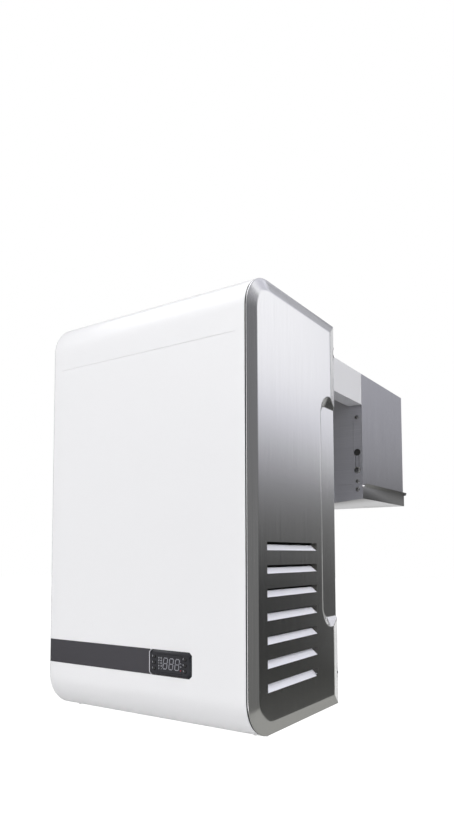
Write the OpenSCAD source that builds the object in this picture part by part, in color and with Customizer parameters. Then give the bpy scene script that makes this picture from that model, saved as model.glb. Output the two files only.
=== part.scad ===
// Through-wall monoblock refrigeration unit.
// The condensing section hangs on the outside of a cold-room wall, the bridge passes over a cut-out
// in the wall, and the evaporator section hangs inside the room.
// Axes: +X to the right as seen from the front, +Y from the front into the room, +Z up.
// Origin: centre of the four wall fixing holes, on the rear face of the back panel.

/* [Body] */
// Width of the condensing section over the rims of its side panels
body_w = 446; // [400:1:520]
// Depth of the condensing section, front face to wall plane
body_d = 333; // [320:1:400]
// Height of the condensing section
body_h = 750; // [730:1:850]
// Radius of the rounded top and bottom of the front
nose_r = 65; // [55:1:80]
// Sheet metal thickness of the casing
sheet_t = 1.2; // [0.8:0.1:2]
// Gap between neighbouring outer covers
seam = 0.8; // [0.4:0.1:1.5]
// Clearance between pieces that are put together
clear = 0.3; // [0.15:0.05:0.5]

/* [Front cover] */
// Wall thickness of the moulded front cover
cover_t = 2.5; // [2:0.1:4]
// Height of the dark band above the bottom of the body
band_z = 87; // [75:1:120]
// Height of the dark band and of the controller bezel
band_h = 43; // [38:1:50]
// Depth of the band's recess in the cover
band_depth = 1; // [0.6:0.1:1.5]
// Height of the fine groove above the bottom of the body
groove_z = 648; // [600:1:680]
// Length of the fine groove
groove_len = 402; // [300:1:430]
// Width and depth of the fine groove
groove_w = 0.8; // [0.5:0.1:1.2]

/* [Controller] */
// Left edge of the controller bezel, to the right of the middle
control_x = 27.5; // [15:0.5:60]
// Width of the controller bezel
control_w = 88.5; // [84:0.5:100]
// How far the bezel stands out of the cover
bezel_out = 3; // [2:0.5:5]
// Cut corner of the bezel
bezel_corner = 5; // [3:0.5:8]
// Lip of the bezel over the edge of the cut-out
bezel_lip = 4; // [3:0.5:6]
// Depth of the controller body behind the cover
control_depth = 45; // [35:1:48]
// Width of the display window
window_w = 52; // [44:0.5:54]
// Height of the display window
window_h = 30; // [26:0.5:34]
// Diameter of a key
key_d = 5; // [4:0.1:6]
// Spacing of the keys
key_pitch = 9.7; // [9:0.1:12]
// Middle of the keys from the end of the bezel
key_inset = 11.7; // [10:0.1:13]
// Travel of a key
key_travel = 0.8; // [0.5:0.1:1.2]
// Height of a display digit
digit_h = 19.5; // [15:0.5:21]
// Slant of the digits in degrees
digit_slant = 8; // [0:1:12]

/* [Side panels] */
// How far the flat of a side panel stands out of its rim
panel_rise = 7; // [5:0.5:10]
// Width of the sloped rim at the front, top and bottom
rim_w = 22; // [18:1:30]
// Width of the sloped rim at the rear
rear_rim_w = 32; // [24:1:40]
// Depth of the flange that the rim turns back into the body
return_d = 12; // [8:1:18]
// Number of louvres in a side panel
louvre_count = 7; // [3:1:8]
// Distance from one louvre to the next
louvre_pitch = 37.7; // [32:0.1:40]
// Height of a louvre slot
louvre_h = 13.7; // [10:0.1:18]
// Length of a louvre slot
louvre_len = 183; // [120:1:190]
// Depth of a louvre pocket
louvre_depth = 13; // [9:0.5:15]
// Distance from the front of the body to the louvres
louvre_front = 48; // [44:1:60]
// Height of the lowest louvre above the bottom of the body
louvre_z = 70; // [60:1:85]
// Height of the hand recess above the bottom of the body
scoop_z = 152; // [120:1:200]
// Length of the hand recess
scoop_len = 444; // [300:1:470]
// Reach of the hand recess from the rear edge
scoop_w = 78; // [50:1:84]
// Depth of the hand recess
scoop_depth = 9.5; // [7.5:0.5:11]
// Radius of the corners of the hand recess
scoop_r = 38; // [26:1:60]
// Width of the sloped wall of the hand recess
scoop_wall = 18; // [10:1:24]
// Length of the screw notches in the rear rim
notch_len = 25; // [18:1:32]
// Depth of the screw notches in the rear rim
notch_depth = 5; // [4:0.5:8]
// Height of the lower notch above the bottom of the body
notch_low_z = 51; // [40:1:70]
// Distance of the upper notch from the top of the body
notch_top_z = 73; // [60:1:90]

/* [Bridge] */
// Width of the gap that takes the cold-room wall
wall_gap = 160; // [110:1:200]
// How far the sides of the bridge and of the evaporator section stand in from the body's sides
rear_inset = 5.5; // [5:0.5:20]
// Distance from the top of the body to the top of the bridge
bridge_drop = 57.5; // [40:0.5:80]
// Height of the bridge
bridge_h = 70; // [55:1:85]
// Width of the bridge's bottom flanges
bridge_flange = 32; // [25:1:45]
// Space under the insulation inside the bridge
bridge_recess = 25; // [15:1:30]
// Thickness of the foam seal on the wall face
gasket_t = 5; // [4:0.5:8]
// Width of the foam seal
gasket_w = 20; // [15:1:25]

/* [Evaporator section] */
// Depth of the evaporator section from its wall plate
evap_d = 270; // [240:1:320]
// Height of the evaporator section at its sides
evap_h = 280; // [260:1:320]
// Height of the drip tray's side walls
tray_side_h = 27; // [20:1:36]
// Height of the drip tray's front wall above its side bottom
tray_front_h = 33; // [28:1:42]
// Fall of the tray bottom to the middle
tray_fall = 21; // [10:1:30]
// Rise and outward slant of the tray's lip
tray_lip = 7; // [5:0.5:10]
// How far the tray reaches past the rear panel
tray_reach = 8; // [6:1:16]
// Width of the flange strip at the wall side of each side panel
strip_w = 21; // [16:0.5:28]
// Outer diameter of the drain spigot
drain_d = 20; // [16:0.5:25]
// Length of the drain spigot
drain_len = 22; // [15:1:35]

/* [Fans] */
// Diameter of the condenser fan
cond_fan_d = 250; // [220:1:255]
// Diameter of the evaporator fan
evap_fan_d = 190; // [170:1:200]
// Gap between the blade tips and the ring round them
tip_gap = 4; // [3:0.5:6]
// Thickness of a fan blade
blade_t = 1.6; // [1:0.1:2.5]
// Diameter of a fan motor
motor_d = 70; // [60:1:76]
// Length of a fan motor
motor_len = 44; // [36:1:50]
// Diameter of a fan shaft
shaft_d = 8; // [6:0.5:10]
// Clearance round a fan shaft on each side
shaft_fit = 0.05; // [0.02:0.01:0.09]

/* [Refrigeration] */
// Diameter of the compressor shell
comp_d = 150; // [130:1:160]
// Height of the compressor shell
comp_h = 200; // [170:1:215]
// Outer diameter of the suction pipe
suction_d = 10; // [8:0.5:12]
// Outer diameter of the small pipes
pipe_d = 6.35; // [5:0.05:8]
// Outer diameter of the coil tubes
coil_tube_d = 9.5; // [7:0.1:12]
// Pitch of the coil tubes
coil_pitch = 25; // [23:0.5:26]
// Room between the side of the body and the ends of the condenser's tubes
cond_room = 53.5; // [53:0.5:75]
// Distance from the top of the body down to the condenser coil
cond_drop = 247.5; // [200:0.5:260]
// Length of the evaporator's tubes
evap_len = 174; // [150:1:178]
// Number of fins drawn in each coil
fin_count = 20; // [10:1:30]
// Thickness of a fin
fin_t = 0.6; // [0.3:0.1:1]

/* [Electrical box] */
// Width of the electrical box
box_w = 164; // [130:1:170]
// Depth of the electrical box
box_d = 133; // [120:1:160]
// Height of the electrical box
box_h = 150; // [110:1:170]
// Distance from the wall plane to the electrical box
box_rear = 73; // [60:1:90]

/* [Mounts] */
// Distance between the wall fixing holes across
fix_x = 360; // [320:1:380]
// Distance between the wall fixing holes upwards
fix_z = 420; // [390:1:430]
// Diameter of a wall fixing hole
fix_d = 9; // [6.5:0.5:11]
// Bore of the cable gland
gland_bore = 9; // [7:0.5:11]
// Outer diameter of the cable gland's thread
gland_d = 20; // [16:0.5:25]

/* [Hidden] */
$fn = 64;
over = 1; // overrun of every cut

y_front = -body_d;
z_low = -body_h / 2;
z_top = body_h / 2;
x_rim = body_w / 2;
x_flat = x_rim + panel_rise;
y_cover_end = y_front + nose_r - seam;
cover_w = body_w - 2 * seam;
z_band = z_low + band_z;
z_band_mid = z_band + band_h / 2;
x_control_mid = control_x + control_w / 2;
x_rear = x_rim - rear_inset;
z_bridge_top = z_top - bridge_drop;
z_bridge_low = z_bridge_top - bridge_h;
y_evap = wall_gap;
y_evap_end = y_evap + evap_d;
z_evap_low = z_bridge_top - evap_h;
z_tray_side = z_evap_low + tray_side_h;
z_tray_front = z_evap_low + tray_front_h;
z_hood_low = z_tray_side + tray_lip / 2;

// A block that is rounded along its top front and bottom front edges
module nose_block(w, y0, y1, z0, z1, r) {
    translate([-w / 2, y0 + r, z0]) cube([w, y1 - y0 - r, z1 - z0]);
    translate([-w / 2, y0, z0 + r]) cube([w, r, z1 - z0 - 2 * r]);
    for (z = [z0 + r, z1 - r])
        translate([-w / 2, y0 + r, z]) rotate([0, 90, 0]) cylinder(r = r, h = w);
}

// A block from x0, y0, z0 to x1, y1, z1
module span(x0, x1, y0, y1, z0, z1) {
    translate([x0, y0, z0]) cube([x1 - x0, y1 - y0, z1 - z0]);
}

// A straight round bar between two points
module bar(a, b, d) {
    v = b - a;
    length = norm(v);
    translate(a)
        rotate([0, acos(v[2] / length), atan2(v[1], v[0])])
            cylinder(d = d, h = length, $fn = 32);
}

pipe_bend = 9; // radius of every bend of a pipe

function unit(v) = v / norm(v);

// A quarter bend of a pipe at corner p, from direction u to direction v
module pipe_elbow(p, u, v, d) {
    w = cross(u, v);
    c = p + pipe_bend * (v - u);
    multmatrix([[-v[0], u[0], w[0], c[0]], [-v[1], u[1], w[1], c[1]], [-v[2], u[2], w[2], c[2]]])
        rotate_extrude(angle = 90) translate([pipe_bend, 0]) circle(d = d, $fn = 32);
}

// A round pipe along points, whose corners are all square, with a bend at each
module pipe_run(points, d) {
    last = len(points) - 1;
    way = [for (i = [1:last]) unit(points[i] - points[i - 1])];
    for (i = [1:last])
        bar(points[i - 1] + (i == 1 ? 0 : pipe_bend) * way[i - 1],
            points[i] - (i == last ? 0 : pipe_bend) * way[i - 1], d);
    for (i = [1:last - 1]) pipe_elbow(points[i], way[i - 1], way[i], d);
}

// A screw whose head points along +Y and whose shank points along -Y
module screw_y(d, head_d, head_h, length) {
    rotate([-90, 0, 0]) cylinder(d = head_d, h = head_h, $fn = 32);
    rotate([90, 0, 0]) cylinder(d = d, h = length, $fn = 32);
}

// Front cover

z_groove = z_low + groove_z;
cut_w = control_w - 2 * bezel_lip;
cut_h = band_h - 2 * bezel_lip;
cover_screw_x = cover_w / 2 - nose_r / 3;
cover_screw_y = y_cover_end - nose_r / 12;
cover_screw_d = 4;
cover_head_d = 8;
cover_head_h = 1.8;
cover_screw_len = 5;

module front_cover() {
    color([0.93, 0.94, 0.95])
    difference() {
        intersection() {
            nose_block(cover_w, y_front, y_front + 2 * nose_r, z_low, z_top, nose_r);
            span(-body_w, body_w, y_front - over, y_cover_end, z_low - over, z_top + over);
        }
        nose_block(cover_w + 2 * over, y_front + cover_t, y_front + 3 * nose_r,
            z_low + cover_t, z_top - cover_t, nose_r - cover_t);
        translate([-groove_len / 2, y_front - over, z_groove - groove_w / 2])
            cube([groove_len, over + groove_w, groove_w]);
        span(-cover_w / 2 - over, control_x, y_front - over, y_front + band_depth,
            z_band, z_band + band_h);
        translate([x_control_mid - cut_w / 2, y_front - over, z_band_mid - cut_h / 2])
            cube([cut_w, cover_t + 2 * over, cut_h]);
        for (x = [-1, 1], z = [z_low, z_top])
            translate([x * cover_screw_x, cover_screw_y, z])
                cylinder(d = cover_screw_d + 2 * clear, h = 4 * cover_t, center = true);
    }
}

module accent_band() {
    color([0.27, 0.27, 0.29])
    span(-cover_w / 2, control_x - clear, y_front, y_front + band_depth - clear / 3,
        z_band + clear, z_band + band_h - clear);
}

module cover_screws() {
    color([0.25, 0.25, 0.26])
    for (x = [-1, 1], s = [-1, 1])
        translate([x * cover_screw_x, cover_screw_y, s * body_h / 2])
            rotate([s * 90, 0, 0])
                screw_y(cover_screw_d, cover_head_d, cover_head_h, cover_screw_len);
}

// Controller

bezel_back = y_front - clear / 3;
key_y = y_front - bezel_out;
key_x_left = control_x + key_inset;
key_x_right = control_x + control_w - key_inset;
key_flange = 1;
key_dome = 0.6;
key_bore = key_d + 2 * clear;
key_len = bezel_out;
window_t = 1;
digit_pitch_share = 0.64;
digit_w_share = 0.205;
digit_pitch = digit_h * digit_pitch_share;
stroke = digit_h / 12;
digits_off = 3.5;
x_digits = x_control_mid + digits_off;

module bezel_outline(grow) {
    w = control_w / 2 + grow;
    h = band_h / 2 + grow;
    c = bezel_corner;
    polygon([[-w + c, -h], [w - c, -h], [w, -h + c], [w, h - c],
        [w - c, h], [-w + c, h], [-w, h - c], [-w, -h + c]]);
}

module at_control_face() {
    translate([x_control_mid, bezel_back, z_band_mid]) rotate([90, 0, 0]) children();
}

module controller_bezel() {
    color([0.16, 0.16, 0.18])
    difference() {
        at_control_face() linear_extrude(bezel_out) bezel_outline(0);
        translate([x_control_mid - window_w / 2, key_y - over, z_band_mid - window_h / 2])
            cube([window_w, window_t + over, window_h]);
        for (x = [key_x_left, key_x_right], i = [-1, 0, 1])
            translate([x, 0, z_band_mid + i * key_pitch]) {
                translate([0, key_y - over, 0]) rotate([-90, 0, 0])
                    cylinder(d = key_bore, h = bezel_out + 2 * over);
            }
    }
}

module controller_body() {
    color([0.12, 0.12, 0.13])
    difference() {
        translate([x_control_mid - cut_w / 2 + clear, bezel_back, z_band_mid - cut_h / 2 + clear])
            cube([cut_w - 2 * clear, control_depth, cut_h - 2 * clear]);
        for (x = [key_x_left, key_x_right], i = [-1, 0, 1])
            translate([x, bezel_back - over, z_band_mid + i * key_pitch])
                rotate([-90, 0, 0])
                    cylinder(d = key_d + 2 * key_flange + 2 * clear,
                        h = over + key_flange + key_travel + 2 * clear);
    }
}

module display_window() {
    color([0.08, 0.08, 0.09])
    translate([x_control_mid - window_w / 2 + clear / 2, key_y, z_band_mid - window_h / 2 + clear / 2])
        cube([window_w - clear, window_t, window_h - clear]);
}

// A point of a digit, moved sideways by the slant
function slanted(p) = [p[0] + p[1] * tan(digit_slant), p[1]];

// One stroke of a digit, with pointed ends
module segment(a, b) {
    v = slanted(b) - slanted(a);
    translate(slanted(a)) rotate(atan2(v[1], v[0]))
        polygon([[0, 0], [stroke / 2, stroke / 2], [norm(v) - stroke / 2, stroke / 2], [norm(v), 0],
            [norm(v) - stroke / 2, -stroke / 2], [stroke / 2, -stroke / 2]]);
}

module digit_outline() {
    w = digit_h * digit_w_share;
    h = digit_h / 2 - stroke / 2;
    g = stroke / 5;
    for (z = [-h, 0, h]) segment([-w + g, z], [w - g, z]);
    for (x = [-w, w]) {
        segment([x, -h + g], [x, -g]);
        segment([x, g], [x, h - g]);
    }
}

digit_t = 0.15;

module display_digits() {
    color([0.5, 0.5, 0.52])
    translate([x_digits, key_y, z_band_mid]) rotate([90, 0, 0]) linear_extrude(digit_t)
        for (i = [-1, 0, 1]) translate([i * digit_pitch, 0]) digit_outline();
}

module key(x, i) {
    color([0.1, 0.1, 0.11])
    translate([x, 0, z_band_mid + i * key_pitch]) {
        translate([0, key_y - key_travel, 0]) rotate([-90, 0, 0])
            cylinder(d = key_d, h = key_len + key_travel);
        translate([0, key_y - key_travel, 0]) rotate([90, 0, 0])
            cylinder(d1 = key_d, d2 = key_d / 2, h = key_dome);
        translate([0, bezel_back + clear / 2, 0]) rotate([-90, 0, 0])
            cylinder(d = key_d + 2 * key_flange, h = key_flange);
    }
}

module key_left_top() { key(key_x_left, 1); }
module key_left_middle() { key(key_x_left, 0); }
module key_left_bottom() { key(key_x_left, -1); }
module key_right_top() { key(key_x_right, 1); }
module key_right_middle() { key(key_x_right, 0); }
module key_right_bottom() { key(key_x_right, -1); }

// Side panels

// A raised field over a YZ rectangle, from x = 0 to x = rise. Its front corners are round.
// Its front, top and bottom edges slope by edge, and its rear edge slopes by rear.
module field(d, h, rise, edge, rear, r) {
    translate([0, 0, r]) linear_extrude(h - 2 * r)
        polygon([[0, 0], [0, d], [rise, d - rear], [rise, edge]]);
    for (top = [0, 1])
        translate([0, 0, top * h]) mirror([0, 0, top]) {
            intersection() {
                translate([0, d, 0]) rotate([90, 0, 0]) linear_extrude(d - r)
                    polygon([[0, 0], [0, r], [rise, r], [rise, edge]]);
                linear_extrude(r) polygon([[0, 0], [0, d], [rise, d - rear], [rise, 0]]);
            }
            intersection() {
                translate([0, r, r]) rotate([0, 90, 0]) cylinder(r1 = r, r2 = r - edge, h = rise);
                cube([rise, r, r]);
            }
        }
}

y_scoop = -scoop_w;
z_scoop = z_low + scoop_z;
x_scoop_floor = x_flat - scoop_depth - sheet_t;
y_louvre = y_front + louvre_front;
z_louvre = z_low + louvre_z;
flap_share = 0.8;
flap_rise = louvre_h * flap_share;
rear_flange_w = 2 * return_d;

// The hand recess as a solid, whose wide side lies on the flat of the panel
module scoop_form(shift) {
    translate([x_flat + shift, y_scoop, z_scoop]) mirror([1, 0, 0])
        field(scoop_w + rear_rim_w, scoop_len, scoop_depth, scoop_wall, 0, scoop_r);
}

module panel_skin() {
    difference() {
        translate([x_rim, y_front, z_low]) field(body_d, body_h, panel_rise, rim_w, rear_rim_w, nose_r);
        translate([x_rim - sheet_t, y_front, z_low])
            field(body_d, body_h, panel_rise, rim_w, rear_rim_w, nose_r);
        scoop_form(0);
    }
}

// The pressed floor and sloped wall of the hand recess
module scoop_skin() {
    intersection() {
        difference() {
            scoop_form(-sheet_t);
            scoop_form(0);
        }
        union() {
            translate([x_rim, y_front, z_low])
                field(body_d, body_h, panel_rise, rim_w, rear_rim_w, nose_r);
            span(0, x_rim, y_front, 0, z_low, z_top);
        }
    }
}

// The flange that turns back into the body along the front, top and bottom
module panel_return() {
    inset = cover_t + clear;
    difference() {
        intersection() {
            nose_block(body_w, y_front + inset, nose_r, z_low + inset, z_top - inset, nose_r - inset);
            span(x_rim - return_d, x_rim, y_front, 0, z_low, z_top);
        }
        nose_block(body_w + 2 * over, y_front + inset + sheet_t, 2 * nose_r,
            z_low + inset + sheet_t, z_top - inset - sheet_t, nose_r - inset - sheet_t);
    }
}

module louvre_slot(z) {
    span(x_rim - louvre_depth, x_flat + over, y_louvre, y_louvre + louvre_len, z, z + louvre_h);
}

// A pocket formed inwards: a sloped flap that rises from the lower edge, and two end walls
module louvre_pocket(z) {
    translate([x_flat, y_louvre, z]) {
        translate([0, louvre_len, 0]) rotate([90, 0, 0]) linear_extrude(louvre_len)
            polygon([[0, 0], [0, -sheet_t], [-louvre_depth, flap_rise - sheet_t],
                [-louvre_depth, flap_rise]]);
        for (y = [0, louvre_len - sheet_t])
            translate([0, y + sheet_t, 0]) rotate([90, 0, 0]) linear_extrude(sheet_t)
                polygon([[0, 0], [-louvre_depth, flap_rise], [-louvre_depth, louvre_h], [0, louvre_h]]);
    }
}

module notch(z) {
    translate([x_rim, -notch_depth, z]) cube([rear_rim_w, notch_depth + over, notch_len]);
}

module side_panel() {
    color([0.62, 0.62, 0.63])
    difference() {
        union() {
            difference() {
                panel_skin();
                for (i = [0:louvre_count - 1]) louvre_slot(z_louvre + i * louvre_pitch);
            }
            scoop_skin();
            panel_return();
            span(x_rim - rear_flange_w, x_rim, -sheet_t, 0, z_low + return_d, z_top - return_d);
            for (i = [0:louvre_count - 1]) louvre_pocket(z_louvre + i * louvre_pitch);
        }
        notch(z_low + notch_low_z);
        notch(z_top - notch_top_z);
        panel_screw_holes();
    }
}

module side_panel_right() { side_panel(); }
module side_panel_left() { mirror([1, 0, 0]) side_panel(); }

screw_d = 4;
screw_head_d = 9;
screw_head_h = 2.4;
x_panel_screw = x_rim - screw_head_d / 2;
z_panel_screws = [z_low + notch_low_z + notch_len / 3, z_top - notch_top_z + notch_len / 2,
    z_top - notch_top_z + notch_len + screw_d];

// Children at every screw of the side panels' rear flanges
module at_panel_screws() {
    for (x = [-1, 1], z = z_panel_screws) translate([x * x_panel_screw, 0, z]) children();
}

// Clearance holes for the panel screws, through the sheets of the rear face
module panel_screw_holes() {
    at_panel_screws() rotate([90, 0, 0]) cylinder(d = screw_d + 2 * clear, h = 8 * sheet_t, center = true);
}

module panel_screws() {
    color([0.1, 0.1, 0.11])
    at_panel_screws() screw_y(screw_d, screw_head_d, screw_head_h, 3 * sheet_t);
}

// Casing of the condensing section

x_back = x_rim - rear_flange_w - seam;
back_lap = 8;
hem_h = cover_t + clear - sheet_t;
slot_w = 8;
slot_pitch = 17;
outlet_share = 0.8;
outlet_w = cond_fan_d * outlet_share;
outlet_count = 13;
intake_count = 5;
window_x = x_rear - bridge_flange;
window_z0 = z_bridge_low + bridge_recess;
window_z1 = z_bridge_top - 2 * return_d / 3;
y_floor = y_cover_end + seam;
y_inner_back = -2 * sheet_t - clear;
x_gland = body_w / 4;
y_gland = -gland_d * 1.5;
floor_edge = 2 * return_d;

module air_slots(count, length) {
    for (i = [0:count - 1]) translate([-length / 2, (i - (count - 1) / 2) * slot_pitch - slot_w / 2, 0])
        cube([length, slot_w, 4 * sheet_t]);
}

module top_panel() {
    color([0.8, 0.81, 0.82])
    difference() {
        union() {
            span(-cover_w / 2, cover_w / 2, y_floor, -seam, z_top - sheet_t, z_top);
            for (s = [0, 1]) mirror([s, 0, 0])
                span(x_rim - return_d, cover_w / 2, y_floor, -rear_rim_w,
                    z_top - sheet_t - hem_h, z_top - sheet_t);
        }
        translate([0, y_fan, z_top - 2 * sheet_t]) air_slots(outlet_count, outlet_w);
    }
}

module base_pan() {
    color([0.6, 0.61, 0.62])
    difference() {
        union() {
            span(-cover_w / 2, cover_w / 2, y_floor, -sheet_t - clear, z_low, z_low + sheet_t);
            for (s = [0, 1]) mirror([s, 0, 0])
                span(x_rim - return_d, cover_w / 2, y_floor, -rear_rim_w,
                    z_low + sheet_t, z_low + sheet_t + hem_h);
            for (y = [y_floor, y_inner_back - sheet_t])
                span(-x_back, x_back, y, y + sheet_t, z_low, z_low + floor_edge);
        }
        translate([0, y_floor + 3 * slot_pitch, z_low - sheet_t]) air_slots(intake_count, outlet_w);
        translate([x_gland, y_gland, z_low])
            cylinder(d = gland_d + 2 * clear, h = 4 * sheet_t, center = true);
    }
}

module back_panel() {
    color([0.66, 0.67, 0.68])
    difference() {
        union() {
            span(-x_back, x_back, -sheet_t, 0, z_low, z_top - sheet_t - clear);
            for (s = [0, 1]) mirror([s, 0, 0])
                span(x_back - back_lap, x_rim - clear, -2 * sheet_t, -sheet_t,
                    z_low + 2 * return_d, z_top - 2 * return_d);
            span(-x_back + back_lap, x_back - back_lap, -return_d, -sheet_t,
                z_top - 2 * sheet_t - clear, z_top - sheet_t - clear);
        }
        span(-window_x, window_x, -over - sheet_t, over, window_z0, window_z1);
        for (s = [0, 1]) mirror([s, 0, 0])
            span(x_scoop_floor - clear, x_rim, -3 * sheet_t, -sheet_t, z_scoop - clear,
                z_scoop + scoop_len + clear);
        panel_screw_holes();
        for (x = [-1, 1], z = [-1, 1])
            translate([x * fix_x / 2, 0, z * fix_z / 2]) rotate([90, 0, 0])
                cylinder(d = fix_d, h = 4 * sheet_t, center = true);
    }
}

z_seal = -fix_z / 4;
z_seal_top = z_bridge_low - clear;

// Four butted strips of foam
module wall_gasket() {
    color([0.12, 0.12, 0.12]) {
        span(-window_x - gasket_w, window_x + gasket_w, 0, gasket_t,
            z_seal - gasket_w / 2, z_seal + gasket_w / 2);
        span(-window_x - gasket_w, window_x + gasket_w, 0, gasket_t, z_seal_top - gasket_w, z_seal_top);
        for (s = [0, 1]) mirror([s, 0, 0])
            span(window_x, window_x + gasket_w, 0, gasket_t,
                z_seal + gasket_w / 2 + clear, z_seal_top - gasket_w - clear);
    }
}

// Compressor, standing on four rubber feet

comp_side_gap = 54;
comp_rear_gap = 45;
x_comp = -x_rim + comp_side_gap + comp_d / 2;
y_comp = -comp_rear_gap - comp_d / 2;
z_floor = z_low + sheet_t;
grommet_h = 14;
grommet_d = 26;
foot_t = 3;
foot_x = comp_d / 2 + foot_t + seam;
foot_y = comp_d / 2 - grommet_d / 2;
bolt_d = 7;
nut_d = 13;
nut_h = 5;
z_foot = z_floor + grommet_h;
comp_seam = 4;
crown_share = 0.2;
comp_crown = comp_h * crown_share;
z_comp = z_foot + foot_t;
z_comp_top = z_comp + comp_h;
stub_len = 12;
suction_share = 0.35;
discharge_share = 0.25;
z_suction = z_comp + comp_h * suction_share;
z_discharge = z_comp + comp_h * discharge_share;

// The half outline of the pressed shell, with elliptical crowns
function shell_outline() = [
    [0, 0],
    for (a = [-90:10:0]) [comp_d / 2 * cos(a), comp_crown * (1 + sin(a))],
    for (a = [0:10:90]) [comp_d / 2 * cos(a), comp_h - comp_crown * (1 - sin(a))]
];

module compressor_shell() {
    color([0.07, 0.07, 0.08])
    translate([x_comp, y_comp, z_comp]) {
        rotate_extrude() polygon(shell_outline());
        translate([0, 0, comp_h / 2]) cylinder(d = comp_d + comp_seam, h = comp_seam);
        difference() {
            translate([-foot_x - grommet_d / 2, -foot_y - grommet_d / 2, -foot_t])
                cube([2 * foot_x + grommet_d, 2 * foot_y + grommet_d, 2 * foot_t]);
            for (x = [-1, 1], y = [-1, 1]) translate([x * foot_x, y * foot_y, -foot_t - over])
                cylinder(d = bolt_d + 2 * clear, h = 2 * foot_t + 2 * over);
        }
        translate([0, comp_d / 2 - stub_len, z_suction - z_comp]) rotate([-90, 0, 0])
            cylinder(d = suction_d, h = 2 * stub_len);
        translate([comp_d / 2 - stub_len, 0, z_discharge - z_comp]) rotate([0, 90, 0])
            cylinder(d = pipe_d, h = 2 * stub_len);
    }
}

cap_w = 56;
cap_h = 54;
cap_d = 30;

module compressor_terminal_cover() {
    color([0.1, 0.1, 0.1])
    difference() {
        translate([x_comp - cap_w / 2, y_comp - comp_d / 2 - cap_d, z_comp + comp_crown])
            cube([cap_w, cap_d + comp_d / 2, cap_h]);
        translate([x_comp, y_comp, z_comp]) cylinder(d = comp_d + 2 * clear, h = comp_h);
    }
}

module at_feet() {
    for (x = [-1, 1], y = [-1, 1]) translate([x_comp + x * foot_x, y_comp + y * foot_y, z_floor])
        children();
}

module compressor_grommets() {
    color([0.13, 0.13, 0.13])
    at_feet() difference() {
        cylinder(d = grommet_d, h = grommet_h);
        translate([0, 0, -over]) cylinder(d = bolt_d + 2 * clear, h = grommet_h + 2 * over);
    }
}

module compressor_nuts() {
    color([0.72, 0.72, 0.7])
    at_feet() {
        cylinder(d = bolt_d, h = grommet_h + 2 * foot_t + 2 * nut_h);
        translate([0, 0, grommet_h + 2 * foot_t]) cylinder(d = nut_d, h = nut_h, $fn = 6);
    }
}

// Coils: tubes in rows and layers, joined by return bends into one path

module half_bend(turn) {
    rotate(turn) rotate_extrude(angle = 180) translate([coil_pitch / 2, 0]) circle(d = coil_tube_d);
}

module tube_coil(length, rows, layers) {
    for (k = [0:layers - 1], j = [0:rows - 1])
        translate([-length / 2, j * coil_pitch, k * coil_pitch]) rotate([0, 90, 0])
            cylinder(d = coil_tube_d, h = length);
    for (k = [0:layers - 1], j = [0:rows - 2])
        translate([(j % 2 == 0 ? 1 : -1) * length / 2, (j + 1 / 2) * coil_pitch, k * coil_pitch])
            half_bend(j % 2 == 0 ? -90 : 90);
    for (k = [0:layers - 2])
        translate([-length / 2, (k % 2 == 0 ? rows - 1 : 0) * coil_pitch, (k + 1 / 2) * coil_pitch])
            rotate([90, 0, 0]) half_bend(90);
}

module fin_pack(length, rows, layers) {
    for (i = [0:fin_count - 1])
        translate([(i / (fin_count - 1) - 1 / 2) * (length - fin_t) - fin_t / 2,
            -coil_pitch / 2, -coil_pitch / 2])
            cube([fin_t, rows * coil_pitch, layers * coil_pitch]);
}

// An end plate of a coil, reaching past the fins by front, back, low and high
module end_plate(x, rows, layers, low, high, front, back) {
    translate([x - sheet_t / 2, -coil_pitch / 2 - low, -coil_pitch / 2 - front])
        cube([sheet_t, rows * coil_pitch + low + high, layers * coil_pitch + front + back]);
}

cond_len = body_w - 2 * cond_room;
cond_rows = 10;
cond_layers = 2;
y_cond = y_inner_back - 6 * suction_d - (cond_rows - 1) * coil_pitch;
z_cond = z_top - cond_drop;
fin_len_share = 0.96;

module at_condenser() {
    translate([0, y_cond, z_cond]) children();
}

module condenser_tubes() {
    color([0.72, 0.45, 0.3]) at_condenser() tube_coil(cond_len, cond_rows, cond_layers);
}

module condenser_fins() {
    color([0.75, 0.76, 0.77])
    at_condenser() {
        fin_pack(cond_len * fin_len_share, cond_rows, cond_layers);
        for (s = [-1, 1])
            end_plate(s * (cond_len - sheet_t) / 2, cond_rows, cond_layers, 0, 0, 0, coil_pitch / 2);
    }
}

// Fans: an outer-rotor motor whose turning cup carries the blades

plate_t = 3;
cup_wall = 3;
stator_d = motor_d - 4 * cup_wall;
blade_count = 5;
blade_pitch = 30;
blade_chord_share = 0.3;

// Fixed half of the motor: a flange plate and a stator with the bearing bore. Its axis is Z.
module motor() {
    difference() {
        union() {
            cylinder(d = motor_d, h = plate_t);
            cylinder(d = stator_d, h = motor_len - 2 * cup_wall);
        }
        translate([0, 0, plate_t]) cylinder(d = shaft_d + 2 * shaft_fit, h = motor_len);
    }
}

// Turning half: shaft, cup and blades
module rotor(fan_d) {
    chord = fan_d * blade_chord_share;
    translate([0, 0, plate_t + clear]) cylinder(d = shaft_d, h = motor_len - plate_t - clear);
    difference() {
        translate([0, 0, 2 * plate_t]) cylinder(d = motor_d, h = motor_len - 2 * plate_t);
        translate([0, 0, plate_t]) cylinder(d = motor_d - 2 * cup_wall, h = motor_len - plate_t - cup_wall);
    }
    for (i = [0:blade_count - 1]) rotate(i * 360 / blade_count)
        translate([0, 0, motor_len / 2 + plate_t]) difference() {
            intersection() {
                rotate([blade_pitch, 0, 0]) translate([motor_d / 2 - cup_wall / 2, -chord / 2, -blade_t / 2])
                    cube([fan_d / 2, chord, blade_t]);
                cylinder(d = fan_d, h = chord, center = true);
                cylinder(d = fan_d, h = motor_len - 2 * plate_t, center = true);
            }
            cylinder(d = motor_d - cup_wall, h = motor_len, center = true);
        }
}

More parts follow.
